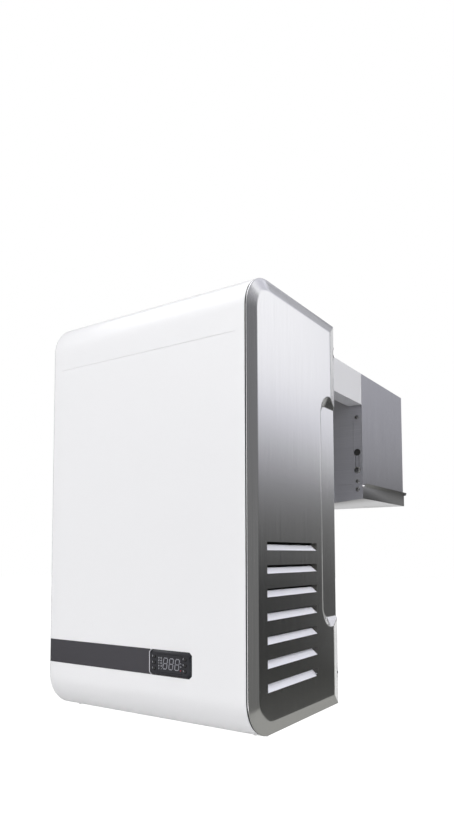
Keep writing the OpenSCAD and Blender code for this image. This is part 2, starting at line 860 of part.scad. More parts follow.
y_fan = y_cond + (cond_rows - 1) / 2 * coil_pitch;
z_shroud = z_cond + cond_layers * coil_pitch;
ring_h = motor_len + 2 * plate_t;
ring_wall = 2;
ring_d = cond_fan_d + 2 * tip_gap;
shroud_x = x_rim - return_d - seam;
shroud_y = cond_rows * coil_pitch / 2 + coil_pitch / 4;
arm_w = 14;

module at_cond_fan() {
    translate([0, y_fan, z_shroud]) children();
}

module fan_shroud() {
    color([0.2, 0.2, 0.21])
    at_cond_fan() difference() {
        union() {
            translate([-shroud_x, -shroud_y, 0]) cube([2 * shroud_x, 2 * shroud_y, 2 * sheet_t]);
            for (s = [-1, 1]) translate([-shroud_x, s * shroud_y - (s + 1) * sheet_t / 2, -coil_pitch])
                cube([2 * shroud_x, sheet_t, coil_pitch + 2 * sheet_t]);
            for (x = [-1, 1]) translate([x * cond_len / 3 - coil_pitch / 2, 0, 0])
                cube([coil_pitch, -sheet_t - y_fan, 2 * sheet_t]);
            cylinder(d = ring_d + 2 * ring_wall, h = ring_h);
        }
        translate([0, 0, -over]) cylinder(d = ring_d, h = ring_h + 2 * over);
    }
}

module motor_bracket() {
    color([0.16, 0.16, 0.17])
    at_cond_fan() {
        translate([0, 0, -2 * sheet_t]) cylinder(d = motor_d, h = 2 * sheet_t);
        for (a = [0:90:270]) rotate(a + 45) translate([0, -arm_w / 2, -2 * sheet_t])
            cube([ring_d / 2 + arm_w, arm_w, 2 * sheet_t]);
    }
}

module condenser_fan_motor() {
    color([0.14, 0.14, 0.15]) at_cond_fan() motor();
}

module condenser_fan_blades() {
    color([0.12, 0.12, 0.13]) at_cond_fan() rotor(cond_fan_d);
}

// Refrigerant circuit

drier_d = 20;
drier_len = 100;
drier_neck = 15;
x_side_pipe = -cond_len / 2 - 2 * coil_pitch / 3 - suction_d;
z_drier = z_cond - coil_pitch - drier_len - drier_neck;
cap_ring_r = 22;
cap_ring_h = 16;
y_rear_pipe = y_inner_back - 2 * suction_d;
z_duct = (window_z0 + z_bridge_top) / 2;
duct_w = 90;
duct_h = 26;
pipe_step = 22;

module filter_drier() {
    color([0.75, 0.48, 0.32])
    translate([x_side_pipe, y_cond, z_drier]) {
        cylinder(d = drier_d, h = drier_len);
        translate([0, 0, drier_len]) cylinder(d1 = drier_d, d2 = pipe_d, h = drier_neck);
        translate([0, 0, -drier_neck]) cylinder(d1 = pipe_d, d2 = drier_d, h = drier_neck);
    }
}

x_cap = x_side_pipe + cap_ring_r;
z_cap = z_drier - drier_neck - cap_ring_h;

module capillary_coil() {
    color([0.7, 0.42, 0.28])
    difference() {
        translate([x_cap, y_cond, z_cap]) cylinder(r = cap_ring_r + pipe_d / 2, h = cap_ring_h);
        translate([x_cap, y_cond, z_cap - over])
            cylinder(r = cap_ring_r - pipe_d / 2, h = cap_ring_h + 2 * over);
    }
}

evap_rows = 8;
evap_layers = 3;
coil_end_room = 32.5;
coil_air = 60;
x_evap_coil = -x_rear + evap_len / 2 + coil_end_room;
y_evap_coil = y_evap + coil_air + (evap_layers - 1) * coil_pitch;
coil_front = y_evap_coil - (evap_layers - 1 / 2) * coil_pitch;
z_evap_coil = z_tray_front + coil_pitch / 2;
z_evap_coil_top = z_evap_coil + (evap_rows - 1) * coil_pitch;
x_coil_end = x_evap_coil - evap_len / 2;
y_coil_first = coil_front + coil_pitch / 2;
y_suction_run = y_coil_first - 2 * suction_d;

module liquid_pipe() {
    color([0.74, 0.46, 0.3])
    pipe_run([
        [x_cap, y_cond + cap_ring_r + pipe_d / 2, z_cap + cap_ring_h / 2],
        [x_cap, y_rear_pipe, z_cap + cap_ring_h / 2],
        [x_cap, y_rear_pipe, z_duct],
        [-pipe_step, y_rear_pipe, z_duct],
        [-pipe_step, y_suction_run - 3 * suction_d / 2, z_duct],
        [x_coil_end - coil_pitch, y_suction_run - 3 * suction_d / 2, z_duct],
        [x_coil_end - coil_pitch, y_suction_run - 3 * suction_d / 2, z_evap_coil],
        [x_coil_end - coil_pitch, y_evap_coil, z_evap_coil],
        [x_coil_end, y_evap_coil, z_evap_coil]
    ], pipe_d);
}

module suction_pipe() {
    color([0.7, 0.43, 0.28])
    pipe_run([
        [x_coil_end, y_coil_first, z_evap_coil_top],
        [x_coil_end - 2 * suction_d, y_coil_first, z_evap_coil_top],
        [x_coil_end - 2 * suction_d, y_suction_run, z_evap_coil_top],
        [x_coil_end - 2 * suction_d, y_suction_run, z_duct],
        [0, y_suction_run, z_duct],
        [0, y_rear_pipe, z_duct],
        [0, y_rear_pipe, z_suction],
        [x_comp, y_rear_pipe, z_suction],
        [x_comp, y_comp + comp_d / 2 + stub_len, z_suction]
    ], suction_d);
}

module discharge_pipe() {
    color([0.74, 0.46, 0.3])
    pipe_run([
        [x_comp + comp_d / 2 + stub_len, y_comp, z_discharge],
        [x_comp + comp_d / 2 + 2 * stub_len, y_comp, z_discharge],
        [x_comp + comp_d / 2 + 2 * stub_len, y_comp, z_comp_top + 2 * stub_len],
        [x_side_pipe, y_comp, z_comp_top + 2 * stub_len],
        [x_side_pipe, y_comp, z_cond + coil_pitch],
        [x_side_pipe, y_cond, z_cond + coil_pitch],
        [-cond_len / 2, y_cond, z_cond + coil_pitch]
    ], pipe_d);
}

module condenser_outlet_pipe() {
    color([0.74, 0.46, 0.3])
    pipe_run([
        [-cond_len / 2, y_cond, z_cond],
        [x_side_pipe, y_cond, z_cond],
        [x_side_pipe, y_cond, z_drier + drier_len + drier_neck]
    ], pipe_d);
}

valve_d = 18;
valve_len = 40;
coil_w = 32;
coil_h = 30;
x_valve = x_comp + comp_d / 2 + 3 * stub_len;
z_valve = z_comp_top + 4 * stub_len;

// Solenoid valve of the hot-gas defrost, on a bracket of the shroud's rear edge
module hot_gas_valve() {
    color([0.68, 0.55, 0.25])
    translate([x_valve, y_rear_pipe - coil_w, z_valve]) {
        cylinder(d = valve_d, h = valve_len);
        translate([-coil_w / 2, -coil_w / 2, valve_len / 4]) cube([coil_w, coil_w, coil_h]);
        translate([-coil_w / 4, 0, 0])
            cube([coil_w / 2, -y_rear_pipe + coil_w - sheet_t, 2 * sheet_t]);
    }
}

switch_d = 24;
switch_h = 30;

module pressure_switch() {
    color([0.75, 0.72, 0.6])
    translate([x_side_pipe, y_comp, z_comp_top + 2 * stub_len + switch_h]) {
        translate([-switch_d / 4, pipe_d / 2, -switch_h / 2]) cube([switch_d / 2, switch_d / 3, switch_h]);
        translate([0, pipe_d / 2 + switch_d / 3, 0]) rotate([-90, 0, 0]) cylinder(d = switch_d, h = switch_h);
    }
}

// Electrical box

box_x1 = x_rim - return_d - 3 * seam;
box_x0 = box_x1 - box_w;
box_y1 = -box_rear;
box_y0 = box_y1 - box_d;
box_z1 = z_floor + box_h;
term_h = 16;
terminal_count = 8;

module electrical_box() {
    color([0.7, 0.71, 0.72])
    difference() {
        span(box_x0, box_x1, box_y0, box_y1, z_floor, box_z1);
        span(box_x0 + sheet_t, box_x1 - sheet_t, box_y0 + sheet_t, box_y1 - sheet_t,
            z_floor + sheet_t, box_z1 + over);
    }
}

module electrical_lid() {
    color([0.72, 0.73, 0.74])
    span(box_x0, box_x1, box_y0, box_y1, box_z1, box_z1 + sheet_t);
}

module terminal_block() {
    color([0.85, 0.85, 0.8])
    difference() {
        span(box_x0 + term_h, box_x1 - term_h, box_y0 + term_h, box_y0 + 3 * term_h,
            z_floor + sheet_t, z_floor + sheet_t + term_h);
        for (i = [1:terminal_count])
            translate([box_x0 + term_h + i * (box_w - 2 * term_h) / (terminal_count + 1), box_y0 + 2 * term_h,
                z_floor + sheet_t + term_h / 2])
                cylinder(d = term_h / 3, h = term_h, $fn = 24);
    }
}

module contactor() {
    color([0.25, 0.25, 0.27])
    translate([(box_x0 + box_x1) / 2 - 3 * term_h / 2, box_y1 - sheet_t - 3 * term_h, z_floor + sheet_t]) {
        cube([3 * term_h, 3 * term_h, 4 * term_h]);
        translate([term_h / 2, term_h / 2, 4 * term_h]) cube([2 * term_h, 2 * term_h, term_h / 2]);
    }
}

gland_hex_share = 1.25;
gland_hex_h = 6;
gland_len = 20;

module cable_gland() {
    color([0.1, 0.1, 0.11])
    translate([x_gland, y_gland, z_low]) difference() {
        union() {
            translate([0, 0, sheet_t - gland_len / 2]) cylinder(d = gland_d, h = gland_len);
            translate([0, 0, -gland_len / 2]) cylinder(d = gland_d * gland_hex_share, h = gland_len / 2);
            translate([0, 0, sheet_t]) cylinder(d = gland_d * gland_hex_share, h = gland_hex_h, $fn = 6);
        }
        translate([0, 0, -gland_len]) cylinder(d = gland_bore, h = 3 * gland_len);
    }
}

// Bridge over the wall cut-out

end_flange = 12;

module bridge_channel() {
    color([0.87, 0.87, 0.9])
    difference() {
        union() {
            difference() {
                span(-x_rear, x_rear, 0, y_evap - seam, z_bridge_low, z_bridge_top);
                span(-x_rear + sheet_t, x_rear - sheet_t, -over, y_evap, z_bridge_low + sheet_t,
                    z_bridge_top - sheet_t);
                span(-x_rear + bridge_flange, x_rear - bridge_flange, -over, y_evap,
                    z_bridge_low - over, z_bridge_low + 2 * sheet_t);
            }
            for (s = [0, 1]) mirror([s, 0, 0]) for (y = [0, y_evap - seam - sheet_t])
                span(x_rear - end_flange, x_rear, y, y + sheet_t, z_bridge_low, z_bridge_top);
        }
        for (x = [-1, 1]) translate([x * (x_rear - bridge_flange / 2), end_flange, z_bridge_low])
            cylinder(d = screw_d + 2 * clear, h = 4 * sheet_t, center = true);
        at_panel_screws() rotate([90, 0, 0])
            cylinder(d = screw_head_d + 4 * clear, h = 2 * screw_head_h + 2 * clear, center = true);
    }
}

module bridge_insulation() {
    color([0.9, 0.86, 0.7])
    difference() {
        span(-x_rear + end_flange + clear, x_rear - end_flange - clear, clear, y_evap - seam,
            window_z0, z_bridge_top - sheet_t);
        translate([-duct_w / 2, -over, z_duct - duct_h / 2]) cube([duct_w, y_evap + 2 * over, duct_h]);
    }
}

// Evaporator section

z_hood_top = z_bridge_top;
strip_drop = 5;
z_strip_top = z_bridge_low - strip_drop;
x_strip = x_rear - strip_w;
hang_up = 64;
hang_z = z_evap_low + hang_up;
key_slot_len = 40;
key_hole_z = hang_z + key_slot_len;
hang_head_d = 15;
hang_slot_w = 9;
round_screw_drop = 22;
round_screw_z = z_strip_top - round_screw_drop;
low_screw_up = 6;
low_screw_z = z_tray_front + low_screw_up;
tray_screw_drop = 12;
tray_screw_z = z_tray_front - tray_screw_drop;
strip_screw_share = 0.6;
x_strip_mid = x_rear - strip_w * strip_screw_share;
evap_head_d = 9;
slit_w = 6;
slit_h = 1.6;

module evaporator_side() {
    color([0.6, 0.61, 0.64])
    difference() {
        union() {
            span(x_rear - sheet_t, x_rear, y_evap, y_evap_end, z_hood_low, z_hood_top);
            span(x_strip, x_rear, y_evap, y_evap + sheet_t, z_tray_front + clear, z_strip_top);
            span(x_rear - return_d, x_rear, y_evap_end - sheet_t, y_evap_end, z_hood_low, z_hood_top);
            span(x_rear - return_d, x_rear, y_evap, y_evap_end, z_hood_top - sheet_t, z_hood_top);
        }
        translate([x_strip_mid, y_evap - over, key_hole_z]) rotate([-90, 0, 0])
            cylinder(d = hang_head_d + 2 * clear, h = sheet_t + 2 * over);
        span(x_strip_mid - hang_slot_w / 2, x_strip_mid + hang_slot_w / 2, y_evap - over,
            y_evap + sheet_t + over, hang_z, key_hole_z);
        translate([x_strip_mid, y_evap - over, hang_z]) rotate([-90, 0, 0])
            cylinder(d = hang_slot_w, h = sheet_t + 2 * over);
        for (z = [round_screw_z, low_screw_z])
            translate([x_strip_mid, y_evap - over, z]) rotate([-90, 0, 0])
                cylinder(d = screw_d + 2 * clear, h = sheet_t + 2 * over);
        translate([x_strip_mid, y_evap - over, round_screw_z - 2 * evap_head_d / 2 - slit_h])
            cube([slit_w, sheet_t + 2 * over, slit_h]);
        span(x_strip - over, x_rear - sheet_t, y_evap - over, y_evap + sheet_t, z_strip_top,
            z_hood_top - sheet_t);
    }
}

module evaporator_side_right() { evaporator_side(); }
module evaporator_side_left() { mirror([1, 0, 0]) evaporator_side(); }

x_plate = x_strip - clear;
y_plate_back = y_evap + sheet_t;

module evaporator_wall_plate() {
    color([0.55, 0.56, 0.6])
    difference() {
        union() {
            span(-x_plate, x_plate, y_evap, y_plate_back, z_tray_front + clear, z_hood_top - sheet_t - clear);
            for (s = [0, 1]) mirror([s, 0, 0])
                span(x_plate - back_lap, x_rear - sheet_t - clear, y_plate_back, y_plate_back + sheet_t,
                    z_tray_front + clear, z_hood_top - 2 * sheet_t - clear);
            span(-x_strip_mid - back_lap, x_strip_mid + back_lap, y_plate_back, y_plate_back + sheet_t,
                tray_screw_z - back_lap, z_tray_front + back_lap);
        }
        span(-duct_w / 2, duct_w / 2, y_evap - over, y_plate_back + over, z_duct - duct_h / 2,
            z_duct + duct_h / 2);
        for (x = [-1, 1], z = [hang_z, round_screw_z, low_screw_z, tray_screw_z])
            translate([x * x_strip_mid, y_evap, z]) rotate([-90, 0, 0])
                cylinder(d = screw_d + 2 * clear, h = 3 * sheet_t);
    }
}

module evaporator_screws() {
    color([0.08, 0.08, 0.09])
    for (x = [-1, 1], z = [round_screw_z, low_screw_z, tray_screw_z])
        translate([x * x_strip_mid, y_evap, z]) mirror([0, 1, 0])
            screw_y(screw_d, evap_head_d, screw_head_h, 4 * sheet_t);
}

module hanger_screws() {
    color([0.1, 0.1, 0.11])
    for (x = [-1, 1]) translate([x * x_strip_mid, y_evap, hang_z]) mirror([0, 1, 0]) difference() {
        screw_y(screw_d, hang_head_d, screw_head_h, 4 * sheet_t);
        translate([0, screw_head_h / 2, 0]) rotate([-90, 0, 0])
            cylinder(d = hang_head_d / 2, h = screw_head_h, $fn = 6);
    }
}

module evaporator_top() {
    color([0.7, 0.71, 0.74])
    union() {
        span(-x_rear + return_d + seam, x_rear - return_d - seam, y_evap, y_evap_end,
            z_hood_top - sheet_t, z_hood_top);
        for (s = [0, 1]) mirror([s, 0, 0])
            span(x_rear - return_d - back_lap, x_rear - sheet_t - clear, y_plate_back + sheet_t + clear,
                y_evap_end - 2 * sheet_t - clear, z_hood_top - 2 * sheet_t, z_hood_top - sheet_t);
    }
}

x_evap_fan = x_rear - return_d - evap_fan_d / 2 - 3 * tip_gap;
z_evap_fan = (z_hood_low + z_hood_top) / 2;
inlet_share = 0.9;
inlet_w = evap_len * inlet_share;
inlet_count = 10;
x_panel_end = x_rear - return_d - seam;

module evaporator_rear_panel() {
    color([0.66, 0.67, 0.7])
    difference() {
        union() {
            span(-x_panel_end, x_panel_end, y_evap_end - sheet_t, y_evap_end, z_hood_low,
                z_hood_top - sheet_t - clear);
            for (s = [0, 1]) mirror([s, 0, 0])
                span(x_panel_end - back_lap, x_rear - sheet_t - clear, y_evap_end - 2 * sheet_t,
                    y_evap_end - sheet_t, z_hood_low, z_hood_top - 2 * sheet_t - clear);
        }
        translate([x_evap_fan, y_evap_end, z_evap_fan]) rotate([90, 0, 0])
            cylinder(d = evap_fan_d + 2 * tip_gap, h = 6 * sheet_t, center = true);
        translate([x_evap_coil, y_evap_end + sheet_t, z_evap_fan]) rotate([90, 0, 0])
            air_slots(inlet_count, inlet_w);
    }
}

wire_d = 3;
spoke_w = 5;
guard_out = 14;
guard_rings = 4;
guard_spokes = 8;
guard_r = evap_fan_d / 2 + 2 * tip_gap;

// A flat ring of the guard, w wide and h high
module guard_ring(r, w, h) {
    difference() {
        cylinder(r = r + w / 2, h = h);
        translate([0, 0, -over]) cylinder(r = r - w / 2, h = h + 2 * over);
    }
}

// Moulded guard whose middle disc carries the fan motor
module evaporator_fan_guard() {
    color([0.15, 0.15, 0.16])
    translate([x_evap_fan, y_evap_end, z_evap_fan]) rotate([-90, 0, 0]) {
        translate([0, 0, guard_out - wire_d / 2]) cylinder(d = motor_d, h = wire_d);
        for (i = [1:guard_rings]) translate([0, 0, guard_out - wire_d / 2])
            guard_ring(motor_d / 2 + i * (guard_r - motor_d / 2) / guard_rings, wire_d, wire_d);
        guard_ring(guard_r, wire_d, guard_out);
        guard_ring(guard_r + wire_d, 3 * wire_d, wire_d);
        for (i = [0:guard_spokes - 1]) rotate(i * 360 / guard_spokes)
            translate([motor_d / 4, -spoke_w / 2, guard_out - wire_d / 2])
                cube([guard_r - motor_d / 4, spoke_w, wire_d]);
    }
}

module at_evap_fan() {
    translate([x_evap_fan, y_evap_end + guard_out - wire_d / 2, z_evap_fan]) rotate([90, 0, 0]) children();
}

module evaporator_fan_motor() {
    color([0.14, 0.14, 0.15]) at_evap_fan() motor();
}

module evaporator_fan_blades() {
    color([0.12, 0.12, 0.13]) at_evap_fan() rotor(evap_fan_d);
}

module at_evaporator() {
    translate([x_evap_coil, y_evap_coil, z_evap_coil]) rotate([90, 0, 0]) children();
}

module evaporator_tubes() {
    color([0.72, 0.45, 0.3]) at_evaporator() tube_coil(evap_len, evap_rows, evap_layers);
}

module evaporator_fins() {
    color([0.75, 0.76, 0.77])
    at_evaporator() {
        fin_pack(evap_len * fin_len_share, evap_rows, evap_layers);
        for (s = [-1, 1]) {
            end_plate(s * (evap_len - sheet_t) / 2, evap_rows, evap_layers, 0,
                z_hood_top - 2 * sheet_t - z_evap_coil_top - coil_pitch / 2, 0, 0);
            end_plate(s * (evap_len - sheet_t) / 2, evap_rows, evap_layers, 0, 0, 0,
                coil_front - y_plate_back - sheet_t);
        }
    }
}

// Sheet that parts the coil's side of the hood from the fan's side
module evaporator_baffle() {
    color([0.7, 0.71, 0.73])
    span(x_evap_coil + evap_len / 2 - sheet_t, x_evap_coil + evap_len / 2, y_evap_coil + coil_pitch / 2,
        y_evap_end - sheet_t, z_evap_coil - coil_pitch / 2, z_hood_top - 2 * sheet_t);
}

probe_d = 6;
probe_len = 40;

module air_probe() {
    color([0.2, 0.2, 0.2])
    translate([x_evap_coil, y_evap_coil + coil_pitch / 2, z_evap_fan]) {
        rotate([0, 90, 0]) translate([0, probe_d / 2, 0]) cylinder(d = probe_d, h = probe_len);
        translate([-probe_d, 0, -probe_d / 2]) cube([probe_d, probe_d, probe_d]);
    }
}

x_tray = x_rear - clear;
y_tray_end = y_evap_end + tray_reach;
lip_share = 0.75;
lip_out = tray_lip * lip_share;
collar_h = 2;
drain_wall = 3;
y_drain = y_evap + drain_d;
z_drain = z_evap_low - tray_fall * (y_tray_end - y_drain) / (y_tray_end - y_evap);
lip_start = drain_d / 2;

// Straight walls round a bottom of three faces, which falls from the sides and the rear to the
// middle of the front
module tray_form(w, y0, y1, z1, lift) {
    z_low = z_evap_low + lift;
    intersection() {
        translate([0, y1, 0]) rotate([90, 0, 0]) linear_extrude(y1 - y0)
            polygon([[-w, z1], [-w, z_low], [0, z_low - tray_fall], [w, z_low], [w, z1]]);
        translate([-w, 0, 0]) rotate([90, 0, 90]) linear_extrude(2 * w)
            polygon([[y0, z1], [y0, z_low - tray_fall], [y1, z_low], [y1, z1]]);
    }
}

module lip_profile() {
    polygon([[0, 0], [lip_out, tray_lip], [lip_out - sheet_t, tray_lip], [-sheet_t, 0]]);
}

module drip_tray() {
    color([0.5, 0.51, 0.52])
    difference() {
        union() {
            difference() {
                tray_form(x_tray, y_evap, y_tray_end, z_tray_side, 0);
                tray_form(x_tray - sheet_t, y_evap + sheet_t, y_tray_end - sheet_t,
                    z_tray_side + over, sheet_t);
            }
            span(-x_rear + sheet_t + clear, x_rear - sheet_t - clear, y_evap, y_evap + sheet_t,
                z_tray_side - sheet_t, z_tray_front);
            for (s = [0, 1]) mirror([s, 0, 0])
                translate([x_tray, y_tray_end + lip_out, z_tray_side]) rotate([90, 0, 0])
                    linear_extrude(y_tray_end + lip_out - y_evap - lip_start) lip_profile();
            translate([-x_tray - lip_out, y_tray_end, z_tray_side]) rotate([90, 0, 90])
                linear_extrude(2 * x_tray + 2 * lip_out) lip_profile();
            translate([0, y_drain, z_drain - collar_h])
                cylinder(d = drain_d * 1.5, h = 2 * collar_h);
            translate([0, y_drain, z_drain - collar_h - drain_len])
                cylinder(d = drain_d, h = drain_len + collar_h);
        }
        translate([0, y_drain, z_drain - collar_h - drain_len - over])
            cylinder(d = drain_d - 2 * drain_wall, h = drain_len + 4 * collar_h + over);
        for (x = [-1, 1]) translate([x * x_strip_mid, y_evap - over, tray_screw_z]) rotate([-90, 0, 0])
            cylinder(d = screw_d + 2 * clear, h = sheet_t + 2 * over);
    }
}

front_cover();
accent_band();
cover_screws();
controller_bezel();
controller_body();
display_window();
display_digits();
key_left_top();
key_left_middle();
key_left_bottom();
key_right_top();
key_right_middle();
key_right_bottom();
side_panel_left();
side_panel_right();
panel_screws();
top_panel();
base_pan();
back_panel();
wall_gasket();
compressor_shell();
compressor_terminal_cover();
compressor_grommets();
compressor_nuts();
condenser_fins();
condenser_tubes();
fan_shroud();
condenser_fan_motor();
motor_bracket();
condenser_fan_blades();
filter_drier();
capillary_coil();
hot_gas_valve();
pressure_switch();
suction_pipe();
discharge_pipe();
condenser_outlet_pipe();
liquid_pipe();
electrical_box();
electrical_lid();
terminal_block();
contactor();
cable_gland();
bridge_channel();
bridge_insulation();
evaporator_top();
evaporator_side_left();
evaporator_side_right();
evaporator_wall_plate();
evaporator_rear_panel();
evaporator_screws();
hanger_screws();
evaporator_fins();
evaporator_tubes();
evaporator_baffle();
evaporator_fan_guard();
evaporator_fan_motor();
evaporator_fan_blades();
air_probe();
drip_tray();
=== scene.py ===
import math

import bmesh
import bpy
import numpy as np
from mathutils import Matrix, Vector


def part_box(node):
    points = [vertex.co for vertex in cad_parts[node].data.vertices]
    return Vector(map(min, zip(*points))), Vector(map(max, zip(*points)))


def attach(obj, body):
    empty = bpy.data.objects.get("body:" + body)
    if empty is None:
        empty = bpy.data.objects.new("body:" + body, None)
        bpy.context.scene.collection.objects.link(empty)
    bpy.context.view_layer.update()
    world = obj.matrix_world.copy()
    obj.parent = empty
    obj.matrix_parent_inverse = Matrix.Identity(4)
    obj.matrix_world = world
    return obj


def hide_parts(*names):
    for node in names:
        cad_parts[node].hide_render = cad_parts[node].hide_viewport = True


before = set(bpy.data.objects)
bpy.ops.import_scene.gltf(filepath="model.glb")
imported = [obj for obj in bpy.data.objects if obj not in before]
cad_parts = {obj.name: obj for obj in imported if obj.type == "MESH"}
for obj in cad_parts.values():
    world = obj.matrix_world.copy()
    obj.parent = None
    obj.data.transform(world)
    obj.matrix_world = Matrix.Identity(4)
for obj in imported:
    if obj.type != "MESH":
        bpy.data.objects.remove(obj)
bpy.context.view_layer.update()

# The place of the camera that took the photograph, solved from the edges of the casing. The picture
# is 454 by 823 points, its horizon lies below its middle, and so the lens is shifted upwards.
picture_w, picture_h = 454, 823
focal_px = 639.18
centre_px = (226.28, 511.77)
camera_place = Vector((0.748, -1.1758, -0.0867))
look = Vector((-0.5550, 0.8290, 0.0678)).normalized()
roll = math.radians(-0.13)

level = -Vector((-look.y, look.x, 0)).normalized()
upright = level.cross(look)
right = level * math.cos(roll) + upright * math.sin(roll)
up = upright * math.cos(roll) - level * math.sin(roll)
lens = bpy.data.cameras.new("photo_camera")
lens.sensor_fit = "VERTICAL"
lens.sensor_height = 36
lens.lens = focal_px / picture_h * lens.sensor_height
lens.shift_x = (picture_w / 2 - centre_px[0]) / picture_h
lens.shift_y = (centre_px[1] - picture_h / 2) / picture_h
lens.clip_end = 60


def in_scene(name, data):
    """A new object of the scene, at the origin."""
    obj = bpy.data.objects.new(name, data)
    bpy.context.scene.collection.objects.link(obj)
    return obj


camera = in_scene("photo_camera", lens)
camera.matrix_world = Matrix((
    (right.x, up.x, -look.x, camera_place.x),
    (right.y, up.y, -look.y, camera_place.y),
    (right.z, up.z, -look.z, camera_place.z),
    (0, 0, 0, 1)))
bpy.context.scene.camera = camera
bpy.context.scene.view_settings.view_transform = "Standard"


# Sheet metal of the casing: folded galvanised plates at the top, bottom and back of the condensing
# section, and the box of the electrics inside it. Their sheared edges are lightly rounded, and the
# zinc shows faint crystals about 6 mm wide.
def material(name, colour, roughness, metallic=0.0, coat=0.0, specular=0.5):
    """A material by name, with the numbers that are the same all over set on its shader."""
    made = bpy.data.materials.new(name)
    made.use_nodes = True
    socket(made, "Base Color").default_value = (*colour, 1)
    socket(made, "Roughness").default_value = roughness
    socket(made, "Metallic").default_value = metallic
    socket(made, "Coat Weight").default_value = coat
    socket(made, "Coat Roughness").default_value = 0.08
    socket(made, "Specular IOR Level").default_value = specular
    return made


def socket(made, name):
    """An input of the material's shader, by name."""
    return made.node_tree.nodes["Principled BSDF"].inputs[name]


def add_node(tree, kind, inputs):
    """A new node of a tree. Each input named gets its number, or a link where an output is given."""
    node = tree.nodes.new(kind)
    for name, value in inputs.items():
        if isinstance(value, bpy.types.NodeSocket):
            tree.links.new(value, node.inputs[name])
        else:
            node.inputs[name].default_value = value
    return node


def noise(made, cells, detail=3.0, kind="ShaderNodeTexNoise", output=0):
    """A noise over Object coordinates, in cells per metre: one number, or one for each axis."""
    place = made.node_tree.nodes.new("ShaderNodeTexCoord").outputs["Object"]
    stretch = add_node(made.node_tree, "ShaderNodeMapping",
                       {"Vector": place, "Scale": np.broadcast_to(cells, 3).tolist()})
    pattern = add_node(made.node_tree, kind,
                       {"Vector": stretch.outputs["Vector"], "Scale": 1, "Detail": detail})
    return pattern.outputs[output]


def tint(made, value, dark, light, start=0.3, end=0.7):
    """Colours the surface from dark to light as the value goes from start to end."""
    ramp = add_node(made.node_tree, "ShaderNodeValToRGB", {"Fac": value})
    for element, place, colour in zip(ramp.color_ramp.elements, (start, end), (dark, light)):
        element.position = place
        element.color = (*colour, 1)
    made.node_tree.links.new(ramp.outputs["Color"], socket(made, "Base Color"))


def roughen(made, value, low, high, start=0.3, end=0.7):
    """Takes the roughness from low to high as the value goes from start to end."""
    node = add_node(made.node_tree, "ShaderNodeMapRange", {
        "Value": value, "From Min": start, "From Max": end, "To Min": low, "To Max": high})
    made.node_tree.links.new(node.outputs["Result"], socket(made, "Roughness"))


def relief(made, value, depth):
    """Raises the surface by the value times depth, in metres."""
    bump = add_node(made.node_tree, "ShaderNodeBump", {"Height": value, "Distance": depth})
    made.node_tree.links.new(bump.outputs["Normal"], socket(made, "Normal"))


def cover_with(obj, made):
    """Gives the object this one material."""
    obj.data.materials.clear()
    obj.data.materials.append(made)


def dress(obj, made, slot, *nodes, body="casing"):
    """Gives a piece its material and the body that it rides on, and lets it stand for the CAD nodes
    that are named. The slot is not used."""
    cover_with(obj, made)
    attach(obj, body)
    if nodes:
        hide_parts(*nodes)
    return obj


def eased(node, width, made, slot, weigh=None, shift=None):
    """A copy of a CAD node with its doubled corners merged and its sharp edges rounded by width, or
    by the share of width that weigh gives for the middle of an edge. Shift moves its points first."""
    doubled = 1e-6
    flat, turned_edge, rounded, crisp = (math.radians(a) for a in (1, 25, 50, 35))
    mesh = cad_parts[node].data.copy()
    if shift:
        points = np.empty(len(mesh.vertices) * 3, np.float32)
        mesh.vertices.foreach_get("co", points)
        mesh.vertices.foreach_set("co", shift(points.reshape(-1, 3)).ravel())
    form = bmesh.new()
    form.from_mesh(mesh)
    bmesh.ops.remove_doubles(form, verts=form.verts, dist=doubled)
    bmesh.ops.dissolve_limit(form, angle_limit=flat, verts=form.verts, edges=form.edges)
    if weigh:
        layer = form.edges.layers.float.new("bevel_weight_edge")
        for edge in form.edges:
            if edge.calc_face_angle(0) > turned_edge:
                edge[layer] = weigh((edge.verts[0].co + edge.verts[1].co) / 2)
    form.to_mesh(mesh)
    form.free()
    obj = in_scene(node + "_eased", mesh)
    bevel = obj.modifiers.new("eased", "BEVEL")
    bevel.width = width
    bevel.segments = 1 if weigh else 2
    bevel.harden_normals = bool(weigh)
    bevel.limit_method = "WEIGHT" if weigh else "ANGLE"
    bevel.use_clamp_overlap = not weigh
    bevel.angle_limit = rounded
    mesh.shade_smooth()
    mesh.set_sharp_from_angle(angle=crisp)
    return dress(obj, made, slot, node)


sheared_edge = 0.0003
zinc_light, zinc_dark, zinc_roughness = (0.66, 0.67, 0.69), (0.52, 0.53, 0.55), 0.38
crystals, clouds, zinc_grain, zinc_depth = 170, 60, 900, 0.00002
galvanised = material("galvanised", zinc_light, zinc_roughness, 0.9)
spangle = noise(galvanised, crystals, 1, "ShaderNodeTexVoronoi", "Color")
tint(galvanised, spangle, zinc_dark, zinc_light, 0, 1)
roughen(galvanised, noise(galvanised, clouds), zinc_roughness * 0.8, zinc_roughness * 1.25)
relief(galvanised, noise(galvanised, zinc_grain), zinc_depth)
for node in ("top_panel", "base_pan", "back_panel", "electrical_box", "electrical_lid"):
    eased(node, sheared_edge, galvanised, "galvanised")
cover_with(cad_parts["evaporator_baffle"], galvanised)


# The refrigerant circuit inside the casing: a black enamelled compressor on rubber feet, copper
# pipes, brass valves and two coils of expanded tubes in aluminium fins. Louvres and slots show it.
def grained(name, colour, roughness, cells, depth, **finish):
    """A material with an even grain of this many cells per metre, raised by depth."""
    made = material(name, colour, roughness, **finish)
    relief(made, noise(made, cells), depth)
    return made


def mottled(name, colour, roughness, cells, dark, light, **finish):
    """A material whose colour wanders from dark to light, in this many cells per metre."""
    made = material(name, colour, roughness, **finish)
    tint(made, noise(made, cells), dark, light)
    return made


